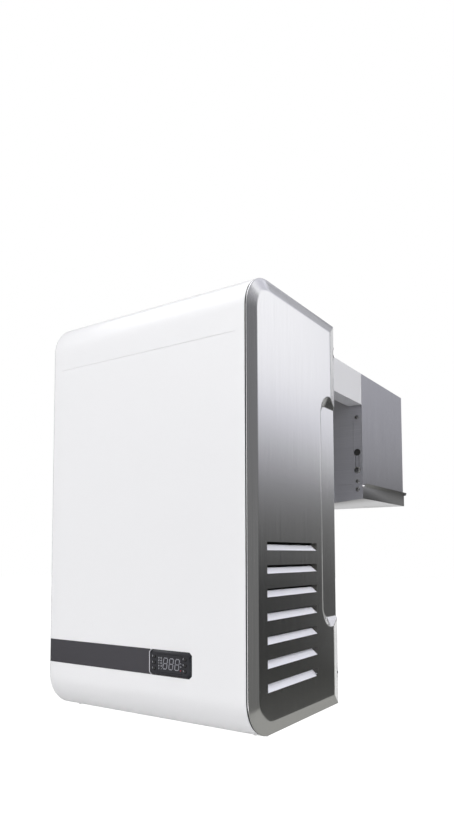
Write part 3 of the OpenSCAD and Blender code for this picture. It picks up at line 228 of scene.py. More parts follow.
compressor_paint = grained("compressor_paint", (0.018, 0.018, 0.02), 0.3, 260, 0.0001, coat=0.4)
copper = mottled("copper", (0.72, 0.4, 0.25), 0.3, 40,
                 (0.42, 0.2, 0.12), (0.78, 0.45, 0.29), metallic=1.0)
fin_aluminium = mottled("fin_aluminium", (0.78, 0.79, 0.8), 0.35, (30, 30, 400),
                        (0.62, 0.63, 0.64), (0.82, 0.83, 0.84), metallic=1.0)
valve_brass = mottled("valve_brass", (0.72, 0.56, 0.27), 0.32, 90,
                      (0.55, 0.4, 0.18), (0.76, 0.6, 0.3), metallic=1.0)
black_plastic = grained("black_plastic", (0.022, 0.022, 0.024), 0.5, 1500, 0.00003)
grommet_rubber = grained("grommet_rubber", (0.03, 0.03, 0.03), 0.75, 900, 0.00005)
black_steel = grained("black_steel", (0.03, 0.03, 0.033), 0.42, 1100, 0.00003)
motor_paint = grained("motor_paint", (0.028, 0.028, 0.03), 0.36, 700, 0.00003, coat=0.3)
pale_plastic = grained("pale_plastic", (0.78, 0.78, 0.73), 0.45, 1200, 0.00002)
steel_screw = mottled("steel_screw", (0.6, 0.6, 0.6), 0.32, 300,
                      (0.45, 0.45, 0.45), (0.7, 0.7, 0.69), metallic=1.0)
inner_finishes = {
    compressor_paint: ("compressor_shell",),
    black_plastic: ("compressor_terminal_cover", "fan_shroud", "contactor", "cable_gland",
                    "air_probe"),
    grommet_rubber: ("compressor_grommets",),
    steel_screw: ("compressor_nuts",),
    fin_aluminium: ("condenser_fins", "evaporator_fins"),
    copper: ("condenser_tubes", "filter_drier", "capillary_coil", "suction_pipe", "discharge_pipe",
             "condenser_outlet_pipe", "liquid_pipe", "evaporator_tubes"),
    motor_paint: ("condenser_fan_motor", "evaporator_fan_motor"),
    black_steel: ("motor_bracket",),
    valve_brass: ("hot_gas_valve", "pressure_switch"),
    pale_plastic: ("terminal_block",),
}
for made, nodes in inner_finishes.items():
    for node in nodes:
        cover_with(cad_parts[node], made)

# The two side panels: brushed stainless sheet pressed into a shallow tray, with a sloped rim all
# round, a long hand recess at the rear edge, and louvres pressed inwards. The flaps' pale white is
# painted reflection and the end walls' dark grey is painted shade; a near-black mat behind the
# louvres is painted shade for the dark inside of the casing.
# A flange turns in under the cover, on a black foam seal; where the cover stops short at the right,
# the seal's black is painted shade for the shadow in that gap. Screwed to the back.
low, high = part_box("side_panel_right")
cover_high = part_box("front_cover")[1]
sheet_t = 0.0012
panel_rise = 0.007
x_flat = high.x
x_rim = x_flat - panel_rise
y_front, y_back = low.y, high.y
z_low, z_top = low.z, high.z
nose_r = 0.065
rim_w = 0.022
rear_rim_w = 0.032
fold = 0.08
edge_r = 0.001
recess_reach = 0.078
recess_low, recess_high = z_low + 0.152, z_low + 0.596
recess_depth = 0.0095
recess_r = 0.038
recess_wall = 0.018
recess_fold = 0.0008
notch_spans = ((z_low + 0.051, z_low + 0.076), (z_top - 0.073, z_top - 0.048))
notch_depth = 0.008
louvre_count = 7
louvre_pitch = 0.0377
louvre_z = z_low + 0.070
louvre_h = 0.0137
louvre_y = y_front + 0.048
louvre_len = 0.183
louvre_depth = 0.013
louvre_t = sheet_t * 0.7
flap_rise = 0.0100
flap_lip_r = 0.0018
mat_x = x_flat - louvre_depth - 0.0006
mat_t = 0.0015
mat_over = 0.004
mat_step = 0.02
pleat_pitch = 0.004
pleat_depth = 0.0008
cover_ease = 0.0008
flange_in = 0.004
flange_w = 0.024
seal_in = 0.0008
seam_right, seam_left = 0.0032, 0.0
quarter = math.pi / 2
edge_turn = edge_r * (1 - np.cos(np.linspace(0, quarter, 5)))
tiny = 1e-5


def shell(name, points, faces, closed=False, sharp=35):
    """An object from an array of points and an array of four-cornered faces. Edges that are open, or
    turn by sharp degrees, are marked sharp, so that a thickness added later has crisp edges."""
    weld = 2e-6
    mesh = bpy.data.meshes.new(name)
    mesh.vertices.add(len(points))
    mesh.vertices.foreach_set("co", points.astype(np.float32).ravel())
    mesh.loops.add(faces.size)
    mesh.loops.foreach_set("vertex_index", faces.astype(np.int32).ravel())
    mesh.polygons.add(len(faces))
    mesh.polygons.foreach_set("loop_start", np.arange(0, faces.size, 4, dtype=np.int32))
    mesh.update(calc_edges=True)
    mesh.validate()
    form = bmesh.new()
    form.from_mesh(mesh)
    bmesh.ops.remove_doubles(form, verts=form.verts, dist=weld)
    bmesh.ops.dissolve_degenerate(form, edges=form.edges, dist=weld)
    if closed:
        bmesh.ops.recalc_face_normals(form, faces=form.faces)
    for face in form.faces:
        face.smooth = True
    for edge in form.edges:
        edge.smooth = len(edge.link_faces) == 2 and edge.calc_face_angle(0) < math.radians(sharp)
    form.to_mesh(mesh)
    form.free()
    return in_scene(name, mesh)


def quads(rows, columns):
    """The faces of a grid of points: the four corners of each, in the order that they run round."""
    number = np.arange(rows * columns).reshape(rows, columns)
    return np.stack([number[:-1, :-1], number[1:, :-1], number[1:, 1:], number[:-1, 1:]], axis=-1)


def surface(name, grids, made, slot, *nodes, body="casing", closed=False, sharp=35):
    """One piece from grids of points, each (rows, columns, 3): every four neighbours make a face,
    and points that meet are merged."""
    points, faces, start = [], [], 0
    for grid in grids:
        faces.append(quads(*grid.shape[:2]).reshape(-1, 4) + start)
        points.append(grid.reshape(-1, 3))
        start += len(points[-1])
    obj = shell(name, np.concatenate(points), np.concatenate(faces), closed, sharp)
    return dress(obj, made, slot, *nodes, body=body)


def thicken(obj, thickness):
    """Gives a sheet its thickness, on the side away from its normals."""
    wall = obj.modifiers.new("sheet", "SOLIDIFY")
    wall.thickness = thickness
    wall.offset = -1


def grid_of(x, y, z):
    """A grid of points from the three coordinates, each stretched to the shape of the largest."""
    return np.stack(np.broadcast_arrays(x, y, z), axis=-1)


def smooth_least(a, b, k):
    """The smaller of two arrays, rounded where they come within k of each other."""
    h = np.clip(0.5 + 0.5 * (b - a) / k, 0, 1)
    return b + (a - b) * h - k * h * (1 - h)


def lines(stops, step):
    """Numbers from the first stop to the last, with every stop among them and steps of about step."""
    parts = [np.linspace(a, b, max(1, round((b - a) / step)) + 1)[:-1]
             for a, b in zip(stops, stops[1:])]
    return np.append(np.concatenate(parts), stops[-1])


def apart(parts):
    """All the numbers of the parts in order, without those that nearly repeat the one before."""
    numbers = np.sort(np.concatenate(parts))
    return numbers[np.append(True, np.diff(numbers) > tiny / 2)]


def round_inset(across, along, radius):
    """The distance from the nearer of two edges, and in the corner from a quarter circle."""
    arc = radius - np.hypot(np.maximum(radius - across, 0), np.maximum(radius - along, 0))
    return np.where((across < radius) & (along < radius), arc, np.minimum(across, along))


def panel_x(y, z):
    """Distance of the pressed panel from the middle of the unit. The rim climbs with the distance
    from the rounded outline, the flat caps it, the hand recess is taken off behind, and a small
    radius turns the edge itself."""
    edge = round_inset(y - y_front, np.minimum(z - z_low, z_top - z), nose_r)
    slope = smooth_least(np.clip(edge, 0, None) / rim_w, (y_back - y) / rear_rim_w, fold / 2)
    raised = x_rim + panel_rise * smooth_least(slope, np.ones_like(slope), fold)
    length = np.minimum(z - recess_low, recess_high - z)
    inside = round_inset(y - (y_back - recess_reach), length, recess_r) / recess_wall
    depth = recess_depth * smooth_least(np.clip(inside, -1, None), np.ones_like(y), fold)
    left = edge_r - np.clip(np.minimum(edge, y_back - y), 0, edge_r)
    return smooth_least(raised, x_flat - depth, recess_fold) - edge_r + np.sqrt(edge_r**2 - left**2)


def panel_grid():
    """The panel's outer face over rows in z and columns in y. A row near the top or bottom starts on
    the round of the corner, and one at a notch stops short of the rear edge."""
    fine, flat_step, row_step, rim_step, slot_step = 0.0012, 0.004, 0.0045, 0.006, 0.009
    beyond, rim_end = 0.002, rim_w + 0.004
    depth, slot = y_back - y_front, louvre_y - y_front
    slot_end, hand = slot + louvre_len, depth - recess_reach
    turn = nose_r * (1 - np.cos(np.linspace(0, quarter, 56)))
    stops = [z_low + nose_r, recess_low, recess_low + recess_r, z_top - nose_r]
    for i in range(louvre_count):
        z = louvre_z + i * louvre_pitch
        stops += [z, z + louvre_h]
    rows = apart([z_low + turn, z_top - turn, z_low + edge_turn, z_top - edge_turn,
                  lines(sorted(stops), row_step),
                  lines((recess_low - beyond, recess_low + recess_r), fine),
                  lines((recess_high - recess_r, recess_high + beyond), fine)]
                 + [np.array([a - tiny, a + tiny, b - tiny, b + tiny]) for a, b in notch_spans])
    columns = apart([edge_turn, depth - edge_turn] + [lines((a, b), step) for a, b, step in (
        (edge_r, rim_end, fine), (rim_end, slot, rim_step), (slot, slot_end, slot_step),
        (slot_end, hand, flat_step), (hand, depth - edge_r, fine))])
    along = np.minimum(rows - z_low, z_top - rows)
    arc = nose_r - np.sqrt(np.clip(nose_r**2 - (nose_r - along)**2, 0, None))
    first = y_front + np.where(along < nose_r, arc, 0)
    last = np.full_like(rows, y_back)
    for a, b in notch_spans:
        last[(rows > a) & (rows < b)] = y_back - notch_depth
    y = first[:, None] + (last - first)[:, None] * (columns / depth)[None, :]
    z = np.broadcast_to(rows[:, None], y.shape)
    return grid_of(panel_x(y, z), y, z), rows, columns


def panel_faces(rows, columns):
    """The faces of the panel's grid, without those inside a louvre's slot."""
    middle_z = (rows[:-1] + rows[1:])[:, None] / 2
    middle_y = y_front + (columns[:-1] + columns[1:])[None, :] / 2
    kept = np.ones((len(rows) - 1, len(columns) - 1), bool)
    for i in range(louvre_count):
        z = louvre_z + i * louvre_pitch
        kept &= ~((middle_z > z) & (middle_z < z + louvre_h)
                  & (middle_y > louvre_y) & (middle_y < louvre_y + louvre_len))
    return quads(len(rows), len(columns))[kept][:, [0, 3, 2, 1]]


def louvre_grids(z):
    """The flap that leans in from the lower edge of a slot, over its length and its slope, with a
    round lip at the edge, and the two end walls that close it against the sheet."""
    end_x, end_z = x_flat - louvre_depth, z + flap_rise
    turn = math.atan2(flap_rise, louvre_depth) * np.linspace(0, 1, 9)
    lip_x = x_flat - flap_lip_r * np.sin(turn)
    lip_z = z + flap_lip_r * (1 - np.cos(turn))
    reach = np.linspace(0, 1, 7)
    x = np.concatenate([lip_x, lip_x[-1] + (end_x - lip_x[-1]) * reach[1:]])
    height = np.concatenate([lip_z, lip_z[-1] + (end_z - lip_z[-1]) * reach[1:]])
    y = np.linspace(louvre_y, louvre_y + louvre_len, 31)
    flap = grid_of(x[:, None], y[None, :], height[:, None])
    wall_z = height[None, :] + (z + louvre_h - height[None, :]) * reach[:, None]
    walls = [grid_of(x[None, :], end_y, wall_z)[::way] for end_y, way in ((y[0], 1), (y[-1], -1))]
    return flap[:, ::-1], walls


def hem(inset, x0, x1):
    """A strip from x1 to x0 that runs along the outline of the casing from the rear over the nose,
    this far inside it."""
    turn = [(math.sin(a), math.cos(a)) for a in np.linspace(0, quarter, 16)]
    r, rear = nose_r - inset, y_back - 2 * sheet_t
    nose = [(y_front + nose_r - r * c, z_top - nose_r + r * s) for s, c in turn]
    foot = [(y_front + nose_r - r * c, z_low + nose_r - r * s) for s, c in turn[::-1]]
    path = np.array([(rear, z_low + inset)] + foot + nose + [(rear, z_top - inset)])
    return grid_of(np.array([[x0], [x1]]), path[:, 0], path[:, 1])[:, ::-1]


def painted_shade_mat():
    """A near-black mat on the inner ends of the louvres, painted shade for the dark inside of the
    casing. Its face waves along the height, as a cosine of the height over the pleat's pitch."""
    z_end = louvre_z + (louvre_count - 1) * louvre_pitch + louvre_h
    z = lines((louvre_z - mat_over, z_end + mat_over), pleat_pitch / 6)[:, None]
    y = lines((louvre_y - mat_over, louvre_y + louvre_len + mat_over), mat_step)[None, :]
    return grid_of(mat_x - pleat_depth * (1 - np.cos(2 * math.pi * z / pleat_pitch)) / 2, y, z)


def brushed(name, light, dark, roughness, along="z", anisotropy=0.0):
    """Stainless sheet brushed along one axis: scratches of half a millimetre over broader streaks,
    all far longer than they are wide, in the colour and the roughness."""
    sizes = ((2000, 7), (620, 3), (190, 1.2))
    streak_share, band_share, start, end = 0.2, 0.05, 0.38, 0.62
    made = material(name, light, roughness, 1.0)
    socket(made, "Anisotropic").default_value = anisotropy
    scratches, streaks, bands = (
        noise(made, (run, across, across) if along == "x" else (across, across, run), 2)
        for across, run in sizes)
    grain = mixed(made, mixed(made, scratches, streaks, streak_share), bands, band_share)
    tint(made, grain, dark, light, start, end)
    roughen(made, grain, roughness * 0.85, roughness * 1.2, start, end)
    return made


def mixed(made, first, second, share):
    """A mix of two values, with share of the second."""
    mix = add_node(made.node_tree, "ShaderNodeMix", {"Factor": share, "A": first, "B": second})
    return mix.outputs["Result"]


def side_panel(side, across, seam):
    """One panel, with across 1 for the right and -1 for the left, its mirror image: the pressed face,
    the louvres with their end walls, the flange, the seal up to the cover's seam, and the mat."""
    node = "side_panel_" + side
    mirror = np.array([across, 1, 1])
    grid, rows, columns = panel_grid()
    faces = panel_faces(rows, columns)[:, ::across]
    face = shell(node + "_face", grid.reshape(-1, 3) * mirror, faces)
    thicken(face, sheet_t)
    dress(face, brushed_panel, "brushed_panel", node)
    flaps, ends = zip(*(louvre_grids(louvre_z + i * louvre_pitch) for i in range(louvre_count)))
    flange = hem(flange_in, x_rim - sheet_t - edge_r, x_rim - flange_w)
    # The seal is black foam; in the right seam its black is painted shade for the shadow of the gap.
    seal = hem(seal_in, x_rim + sheet_t / 4, cover_high.x - seam - cover_ease)
    for part, grids, made, slot, wall_t in (
            ("_louvre_flaps", flaps, louvre_flap_painted_reflection, "brushed_panel", louvre_t),
            ("_louvre_ends", sum(ends, []), louvre_end_painted_shade, "brushed_panel", louvre_t),
            ("_flange", [flange], brushed_panel, "brushed_panel", sheet_t),
            ("_seal", [seal], foam_dark, "foam", seal_in),
            ("_painted_shade_mat", [painted_shade_mat()], painted_shade_black, "foam", mat_t)):
        thicken(surface(node + part, [g[:, ::across] * mirror for g in grids], made, slot), wall_t)


brushed_panel = brushed("brushed_panel", (0.98, 0.98, 0.99), (0.87, 0.87, 0.88), 0.17,
                        anisotropy=0.6)
# Painted light: the flaps' pale, non-metallic lavender white stands in for the bright reflection that
# their steel would show, and the end walls' dark, duller copy of the steel is painted shade.
louvre_flap_painted_reflection = mottled("louvre_flap_painted_reflection", (0.86, 0.86, 0.93), 0.5, (600, 12, 600),
                      (0.82, 0.82, 0.9), (0.88, 0.88, 0.95))
louvre_end_painted_shade = mottled("louvre_end_painted_shade", (0.09, 0.088, 0.08), 0.5, (600, 12, 600),
                       (0.08, 0.078, 0.07), (0.1, 0.098, 0.09), metallic=0.3)
# Painted shade: the near-black mat fills the gap above each flap with the dark of the casing's
# inside.
painted_shade_black = grained("painted_shade_black", (0.004, 0.004, 0.004), 0.95, 900, 0.0001, specular=0.1)
foam_dark = grained("foam_dark", (0.02, 0.02, 0.022), 0.9, 700, 0.0002)
side_panel("right", 1, seam_right)
side_panel("left", -1, seam_left)

# The front cover: one moulded sheet in gloss white that wraps over the top and under the bottom,
# with a fine groove below the roll. A dark band lies flush in a recess that runs in from the left,
# and at the right the cover stops short of the panel, over the black seal, whose black in that seam
# is painted shade for the shadow of the gap.
cover_left = seam_left - cover_high.x
cover_right = cover_high.x - seam_right
cover_rear = cover_high.y
cover_t = 0.0025
cover_step = 0.03
band_low, band_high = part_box("accent_band")
bezel_low, bezel_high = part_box("controller_bezel")
bezel_mid = (bezel_low + bezel_high) / 2
band_gap = 0.0003
band_depth = 0.001
groove_z = z_low + 0.648
groove_half = 0.201
groove_w = 0.0008
cutout_half = Vector((0.04025, 0, 0.0175))
hair = 1e-6


def beside(*places):
    """Two lines for each place, a hair to either side of it, between which a sheet steps."""
    return [place + hair * side for place in places for side in (-1, 1)]


def cover_path(level):
    """The cover's side view from the rear at the bottom to the rear at the top, as rows of y, z and
    the direction outwards: the upright front through the levels, between two quarter circles."""
    turn = [(math.sin(a), math.cos(a)) for a in np.linspace(0, quarter, 33)]
    path = [(cover_rear, z_low, 0, -1)]
    path += [(y_front + nose_r * (1 - s), z_low + nose_r * (1 - c), -s, -c) for s, c in turn[:-1]]
    path += [(y_front, z, -1, 0) for z in level]
    path += [(y_front + nose_r * (1 - c), z_top - nose_r * (1 - s), -c, s) for s, c in turn[1:]]
    return np.array(path + [(cover_rear, z_top, 0, 1)])


def front_cover():
    """The cover's outer face: the side view carried along x, rolled back at both ends by a quarter
    circle, stepped back over the band's recess and the groove, and cut out for the controller."""
    recess_end = bezel_low.x - band_gap
    band_z0, band_z1 = band_low.z - band_gap, band_high.z + band_gap
    ends = np.array([0, 0.15, 0.4, 0.7, 1]) * cover_ease
    cut_x = [bezel_mid.x - cutout_half.x, bezel_mid.x + cutout_half.x]
    cut_z = [bezel_mid.z - cutout_half.z, bezel_mid.z + cutout_half.z]
    x = np.concatenate([cover_left + ends, cover_right - ends,
                        lines((cover_left + cover_ease, cover_right - cover_ease), cover_step),
                        beside(recess_end, -groove_half, groove_half), cut_x])
    x = np.unique(np.round(x, 8))
    level = np.concatenate([
        lines((z_low + nose_r, z_top - nose_r), cover_step), cut_z,
        beside(band_z0, band_z1, groove_z - groove_w / 2, groove_z + groove_w / 2)])
    path = cover_path(np.unique(np.round(level, 8)))
    near = cover_ease - np.clip(np.minimum(x - x[0], x[-1] - x), 0, cover_ease)
    back = (cover_ease - np.sqrt(cover_ease**2 - near**2))[None, :]
    y, z = path[:, :1] - path[:, 2:3] * back, path[:, 1:2] - path[:, 3:] * back
    height = path[:, 1:2]
    flat = path[:, 2:3] == -1
    recess = flat & (height > band_z0) & (height < band_z1) & (x[None, :] < recess_end)
    groove = flat & (abs(height - groove_z) < groove_w / 2) & (abs(x)[None, :] < groove_half)
    grid = grid_of(x[None, :], y + (band_depth * recess + groove_w * groove), z)
    middle_x = (x[:-1] + x[1:])[None, :] / 2
    middle_z = (height[:-1] + height[1:]) / 2
    cut = ((abs(middle_x - bezel_mid.x) < cutout_half.x) & flat[:-1] & flat[1:]
           & (abs(middle_z - bezel_mid.z) < cutout_half.z))
    faces = quads(*grid.shape[:2])[~cut][:, [0, 3, 2, 1]]
    obj = shell("cover_shell", grid.reshape(-1, 3), faces, sharp=30)
    thicken(obj, cover_t)
    dress(obj, gloss_white, "white_cover", "front_cover")


gloss_white = material("gloss_white", (0.905, 0.905, 0.92), 0.32, coat=0.25)
relief(gloss_white, noise(gloss_white, 160, 1), 0.000015)
front_cover()


# The dark band: a printed strip that lies in the cover's recess, and a bright metal bracket between
# its end and the controller. Both are cut to the shape of the bezel's end and glued down.
def shrunk(outline, inset):
    """The outline, run anticlockwise, with each side moved inwards by inset."""
    before, after = np.roll(outline, 1, axis=0), np.roll(outline, -1, axis=0)
    first, second = outline - before, after - outline
    first = first / np.linalg.norm(first, axis=1)[:, None]
    second = second / np.linalg.norm(second, axis=1)[:, None]
    normal_a = np.column_stack([-first[:, 1], first[:, 0]])
    normal_b = np.column_stack([-second[:, 1], second[:, 0]])
    middle = normal_a + normal_b
    return outline + inset * middle / (middle * normal_a).sum(axis=1)[:, None]


def plate(name, outline, y0, y1, ease, made, slot, *nodes):
    """A flat plate from y0 forward to y1, on an outline of (x, z) points with the front edge eased
    by stepping the outline inwards round a quarter circle."""
    outline = np.array(outline)
    ring = [(0, y0)] + [(ease * (1 - math.cos(a)), y1 + ease * (1 - math.sin(a)))
                        for a in np.linspace(0, quarter, 5)]
    rows = [np.column_stack([p[:, 0], np.full(len(p), y), p[:, 1]])
            for p, y in ((shrunk(outline, inset), y) for inset, y in ring)]
    middle = outline.mean(axis=0)
    for y, where in ((y1, len(rows)), (y0, 0)):
        rows.insert(where, np.tile([middle[0], y, middle[1]], (len(outline), 1)))
    grid = np.stack(rows)
    grid = np.concatenate([grid, grid[:, :1]], axis=1)
    surface(name, [grid], made, slot, *nodes, closed=True, sharp=30)


def bracket_side(x):
    """The line that follows the bezel's end, from the foot of the band to its top, at x."""
    z0, z1, foot_x = band_low.z, band_high.z, x + corner - corner_gap
    return [(foot_x, z0), (x, z0 + corner), (x, z1 - corner), (foot_x, z1)]


corner, corner_gap = 0.0045, 0.0004
bracket_w, bracket_gap, bracket_rise, bracket_ease = 0.0011, 0.0006, 0.0006, 0.0002
strip_gap, strip_ease = 0.0002, 0.0001
bracket_x = bezel_low.x - bracket_gap - bracket_w
strip_end = bracket_side(bracket_x - strip_gap)
band_paint = grained("band_paint", (0.036, 0.034, 0.042), 0.5, 900, 0.00002)
bracket_metal = grained("bracket_metal", (0.62, 0.62, 0.66), 0.3, (900, 90, 900), 0.00001,
                        metallic=0.6)
plate("accent_strip", [(band_low.x, band_low.z)] + strip_end + [(band_low.x, band_high.z)],
      band_high.y, band_low.y, strip_ease, band_paint, "dark_band", "accent_band")
plate("band_bracket", bracket_side(bracket_x) + bracket_side(bracket_x + bracket_w)[::-1],
      band_high.y, band_low.y - bracket_rise, bracket_ease, bracket_metal, "dark_band")

# The controller: a black bezel with cut corners and slanted edges over the body, a smoked window
# with unlit digits behind it, printed marks, a red lamp and six domed keys in bores.
keys = ("key_left_top", "key_left_middle", "key_left_bottom",
        "key_right_top", "key_right_middle", "key_right_bottom")
window_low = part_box("display_window")[0]
digits_low, digits_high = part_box("display_digits")
slant_w, slant_ease, slant_reach = 0.0038, 0.0004, 0.0004
key_r = 0.0025
lamp_r, lamp_rise = 0.0011, 0.0003
lamp_place = (digits_high.x + 0.0012, window_low.y, digits_low.z + 0.0006)
ink_t, ink_w = 0.0001, 0.0008


def slanted(points):
    """The bezel's points with its front outline drawn in towards the middle by the width of the
    slant, in proportion to the distance from the middle."""
    half = (bezel_high - bezel_low) / 2
    x, z = points[:, 0] - bezel_mid.x, points[:, 2] - bezel_mid.z
    outline = (abs(x) > half.x - slant_reach) | (abs(z) > half.z - slant_reach)
    moved = outline & (points[:, 1] < bezel_low.y + slant_reach)
    points[moved, 0] -= x[moved] * slant_w / half.x
    points[moved, 2] -= z[moved] * slant_w / half.z
    return points


def face_edge(middle):
    """Full rounding for an edge that lies on the bezel's face, and none behind it."""
    return 1.0 if middle.y < bezel_low.y + slant_reach else 0.0


def box_grid(low, high):
    """The six sides of a box as grids of two by two corners."""
    (x0, y0, z0), (x1, y1, z1) = low, high
    sides = [[(x0, y0, z0), (x1, y0, z0), (x0, y0, z1), (x1, y0, z1)],
             [(x1, y1, z0), (x0, y1, z0), (x1, y1, z1), (x0, y1, z1)],
             [(x1, y0, z0), (x1, y1, z0), (x1, y0, z1), (x1, y1, z1)],
             [(x0, y1, z0), (x0, y0, z0), (x0, y1, z1), (x0, y0, z1)],
             [(x0, y0, z1), (x1, y0, z1), (x0, y1, z1), (x1, y1, z1)],
             [(x0, y1, z0), (x1, y1, z0), (x0, y0, z0), (x1, y0, z0)]]
    return [np.array(side, float).reshape(2, 2, 3) for side in sides]


def printed(bars, y):
    """Printed bars on the face at y, each given by its middle in x and z, its width and its height:
    flat boxes just under a tenth of a millimetre thick, a hundredth clear of the face."""
    boxes = [box_grid((x - w / 2, y - ink_t, z - h / 2), (x + w / 2, y - ink_t / 10, z + h / 2))
             for x, z, w, h in bars]
    return sum(boxes, [])


def display_bars():
    """Plain bars beside the digits, where a display has its symbols: five rows of two groups on the
    left, of three bars each, and two small corners on the right."""
    first_x, first_z = digits_low.x - 0.0078, digits_high.z - 0.0012
    row_pitch, column_pitch, apart_z, stroke_h = 0.0044, 0.0052, 0.0008, 0.0016
    right_x, right_z = digits_high.x + 0.0021, (-0.0034, 0.0022)
    tick_x, tick_z, tick_h = 0.0005, 0.0009, 0.0018
    widths = ((0.0028, 0.0028), (0.0024, 0.0030), (0.0010, 0.0036), (0.0022, 0.0026),
              (0.0018, 0.0008))
    bars = []
    for row, pair in enumerate(widths):
        z = first_z - row * row_pitch
        for column, w in enumerate(pair):
            x = first_x + column * column_pitch
            bars += [(x, z + apart_z, w, ink_w), (x, z - apart_z, w * 0.7, ink_w),
                     (x - w / 2 + ink_w / 2, z, ink_w, stroke_h)]
    for z in right_z:
        z += (digits_low.z + digits_high.z) / 2
        bars += [(right_x, z, stroke_h, ink_w), (right_x - tick_x, z + tick_z, ink_w, tick_h)]
    return bars


def key_bars(middle):
    """Three plain bars to the left of a key, in the place of its symbol."""
    x, z = middle.x - 0.0036, middle.z
    return [(x, z + 0.0018, 0.0012, ink_w), (x, z - 0.0004, 0.0010, ink_w),
            (x - 0.0004, z + 0.0006, ink_w, 0.0026)]


def on_axis(a, b, h, axis, place):
    """A grid of points with h along the axis and a and b across it, moved to its place."""
    return grid_of(*((a, h, b) if axis == "y" else (a, b, h))) + np.array(place)


def turned(profile, steps, place, axis="z", turn_to=1):
    """A grid for a shape turned on an axis: each row is a circle, of the radius and at the height
    along the axis that the profile gives."""
    profile = np.array(profile)
    around = np.linspace(0, 2 * math.pi, steps + 1)[None, :]
    radius, height = profile[:, :1], profile[:, 1:] * turn_to
    return on_axis(radius * np.cos(around), radius * np.sin(around), height, axis, place)


def dome(radius, height, foot, rings=10):
    """The profile of a shallow dome, a quarter of an ellipse of this radius and height, on a straight
    foot."""
    bulge = [(radius * math.sin(a), height * math.cos(a)) for a in np.linspace(0, quarter, rings)]
    return bulge + [(radius, -foot), (0, -foot)]


bezel_face = grained("bezel_face", (0.010, 0.010, 0.015), 0.25, 1600, 0.00002, specular=0.34)
smoked = grained("smoked_window", (0.009, 0.009, 0.014), 0.2, 60, 0.000005, specular=0.34)
digit_grey = mottled("digit_grey", (0.25, 0.25, 0.28), 0.5, 500,
                     (0.22, 0.22, 0.25), (0.28, 0.28, 0.31))
mark_grey = mottled("mark_grey", (0.42, 0.42, 0.46), 0.5, 700,
                    (0.4, 0.4, 0.44), (0.48, 0.48, 0.52))
key_dark = grained("key_dark", (0.003, 0.003, 0.004), 0.2, 900, 0.00001, coat=0.3)
lamp_red = grained("lamp_red", (0.3, 0.012, 0.03), 0.3, 900, 0.00001, coat=0.3)
eased("controller_bezel", slant_ease, bezel_face, "bezel_plastic", weigh=face_edge, shift=slanted)
cover_with(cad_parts["display_window"], smoked)
cover_with(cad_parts["controller_body"], black_plastic)
cover_with(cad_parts["display_digits"], digit_grey)
marks = printed(display_bars(), window_low.y)
for key in keys:
    low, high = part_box(key)
    marks += printed(key_bars((low + high) / 2), bezel_low.y)
surface("printed_marks", marks, mark_grey, "digit_grey", closed=True)
for key in keys:
    low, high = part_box(key)
    place = ((low.x + high.x) / 2, bezel_low.y, (low.z + high.z) / 2)
    cap = turned(dome(key_r, bezel_low.y - low.y, high.y - bezel_low.y), 32, place, "y", -1)
    surface(key.replace("key", "keycap"), [cap], key_dark, "key_plastic", key, body=key, closed=True)
lamp = turned(dome(lamp_r, lamp_rise, 0), 20, lamp_place, "y", -1)
surface("alarm_lamp", [lamp], lamp_red, "digit_grey", closed=True)

# Screws: domed heads with a cross recess. Black ones hold the panels at the back, bright ones the
# cover, and dull steel ones the flange strips of the evaporator, where a larger hexagon socket screw
# hangs the hood in its keyhole. A thin black disc over the keyhole's round top and thin black strips
# along its slot are painted shade, in the rubber's material.
panel_screw_r, panel_screw_h = 0.0045, 0.005
panel_screw_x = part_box("panel_screws")[1].x - panel_screw_r
panel_screw_rows = (z_low + 0.0593, z_top - 0.0605, z_top - 0.044)
cover_screw_r, cover_screw_h = 0.004, 0.0018
strip_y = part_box("evaporator_wall_plate")[0].y
strips = (-0.2049, 0.2049)
strip_screw_r, strip_screw_h, strip_screw_pitch = 0.0045, 0.0024, 0.018
hex_share = 0.5
keyhole_rise = 0.04
shade_disc_r, shade_disc_t, shade_disc_ease = 0.0074, 0.0006, 0.0002
shade_strip_x, shade_strip_w = 0.0041, 0.0008
shade_strip_back, shade_strip_front = 0.0002, 0.0008


def screw_head(radius, height, place, axis, turn_to, socket=0):
    """A head's grid: rings from the middle outwards over a dome with a low upright edge, lowered
    inside a cross, or, where socket is given, inside a hexagon of that share of the radius."""
    steps, arm_half, arm_reach, drive_depth, flatness = 73, 0.13, 0.58, 0.6, 0.98
    rings = np.concatenate([np.linspace(0, 0.7, 15), np.linspace(0.74, 1, 9)])[:, None]
    around = np.linspace(0, 2 * math.pi, steps)[None, :]
    a = radius * rings * np.cos(around)
    b = radius * rings * np.sin(around)
    h = height * np.sqrt(1 - flatness * rings**2) * np.ones_like(a)
    if socket:
        inside = rings * np.cos(np.mod(around, math.pi / 3) - math.pi / 6) < socket
    else:
        inside = ((np.minimum(abs(a), abs(b)) < radius * arm_half)
                  & (np.maximum(abs(a), abs(b)) < radius * arm_reach))
    middle = np.zeros((1, steps))
    h = np.concatenate([h - drive_depth * height * inside, middle, middle]) * turn_to
    a = np.concatenate([a, a[-1:], middle])
    b = np.concatenate([b, b[-1:], middle])
    return on_axis(a, b, h, axis, place)


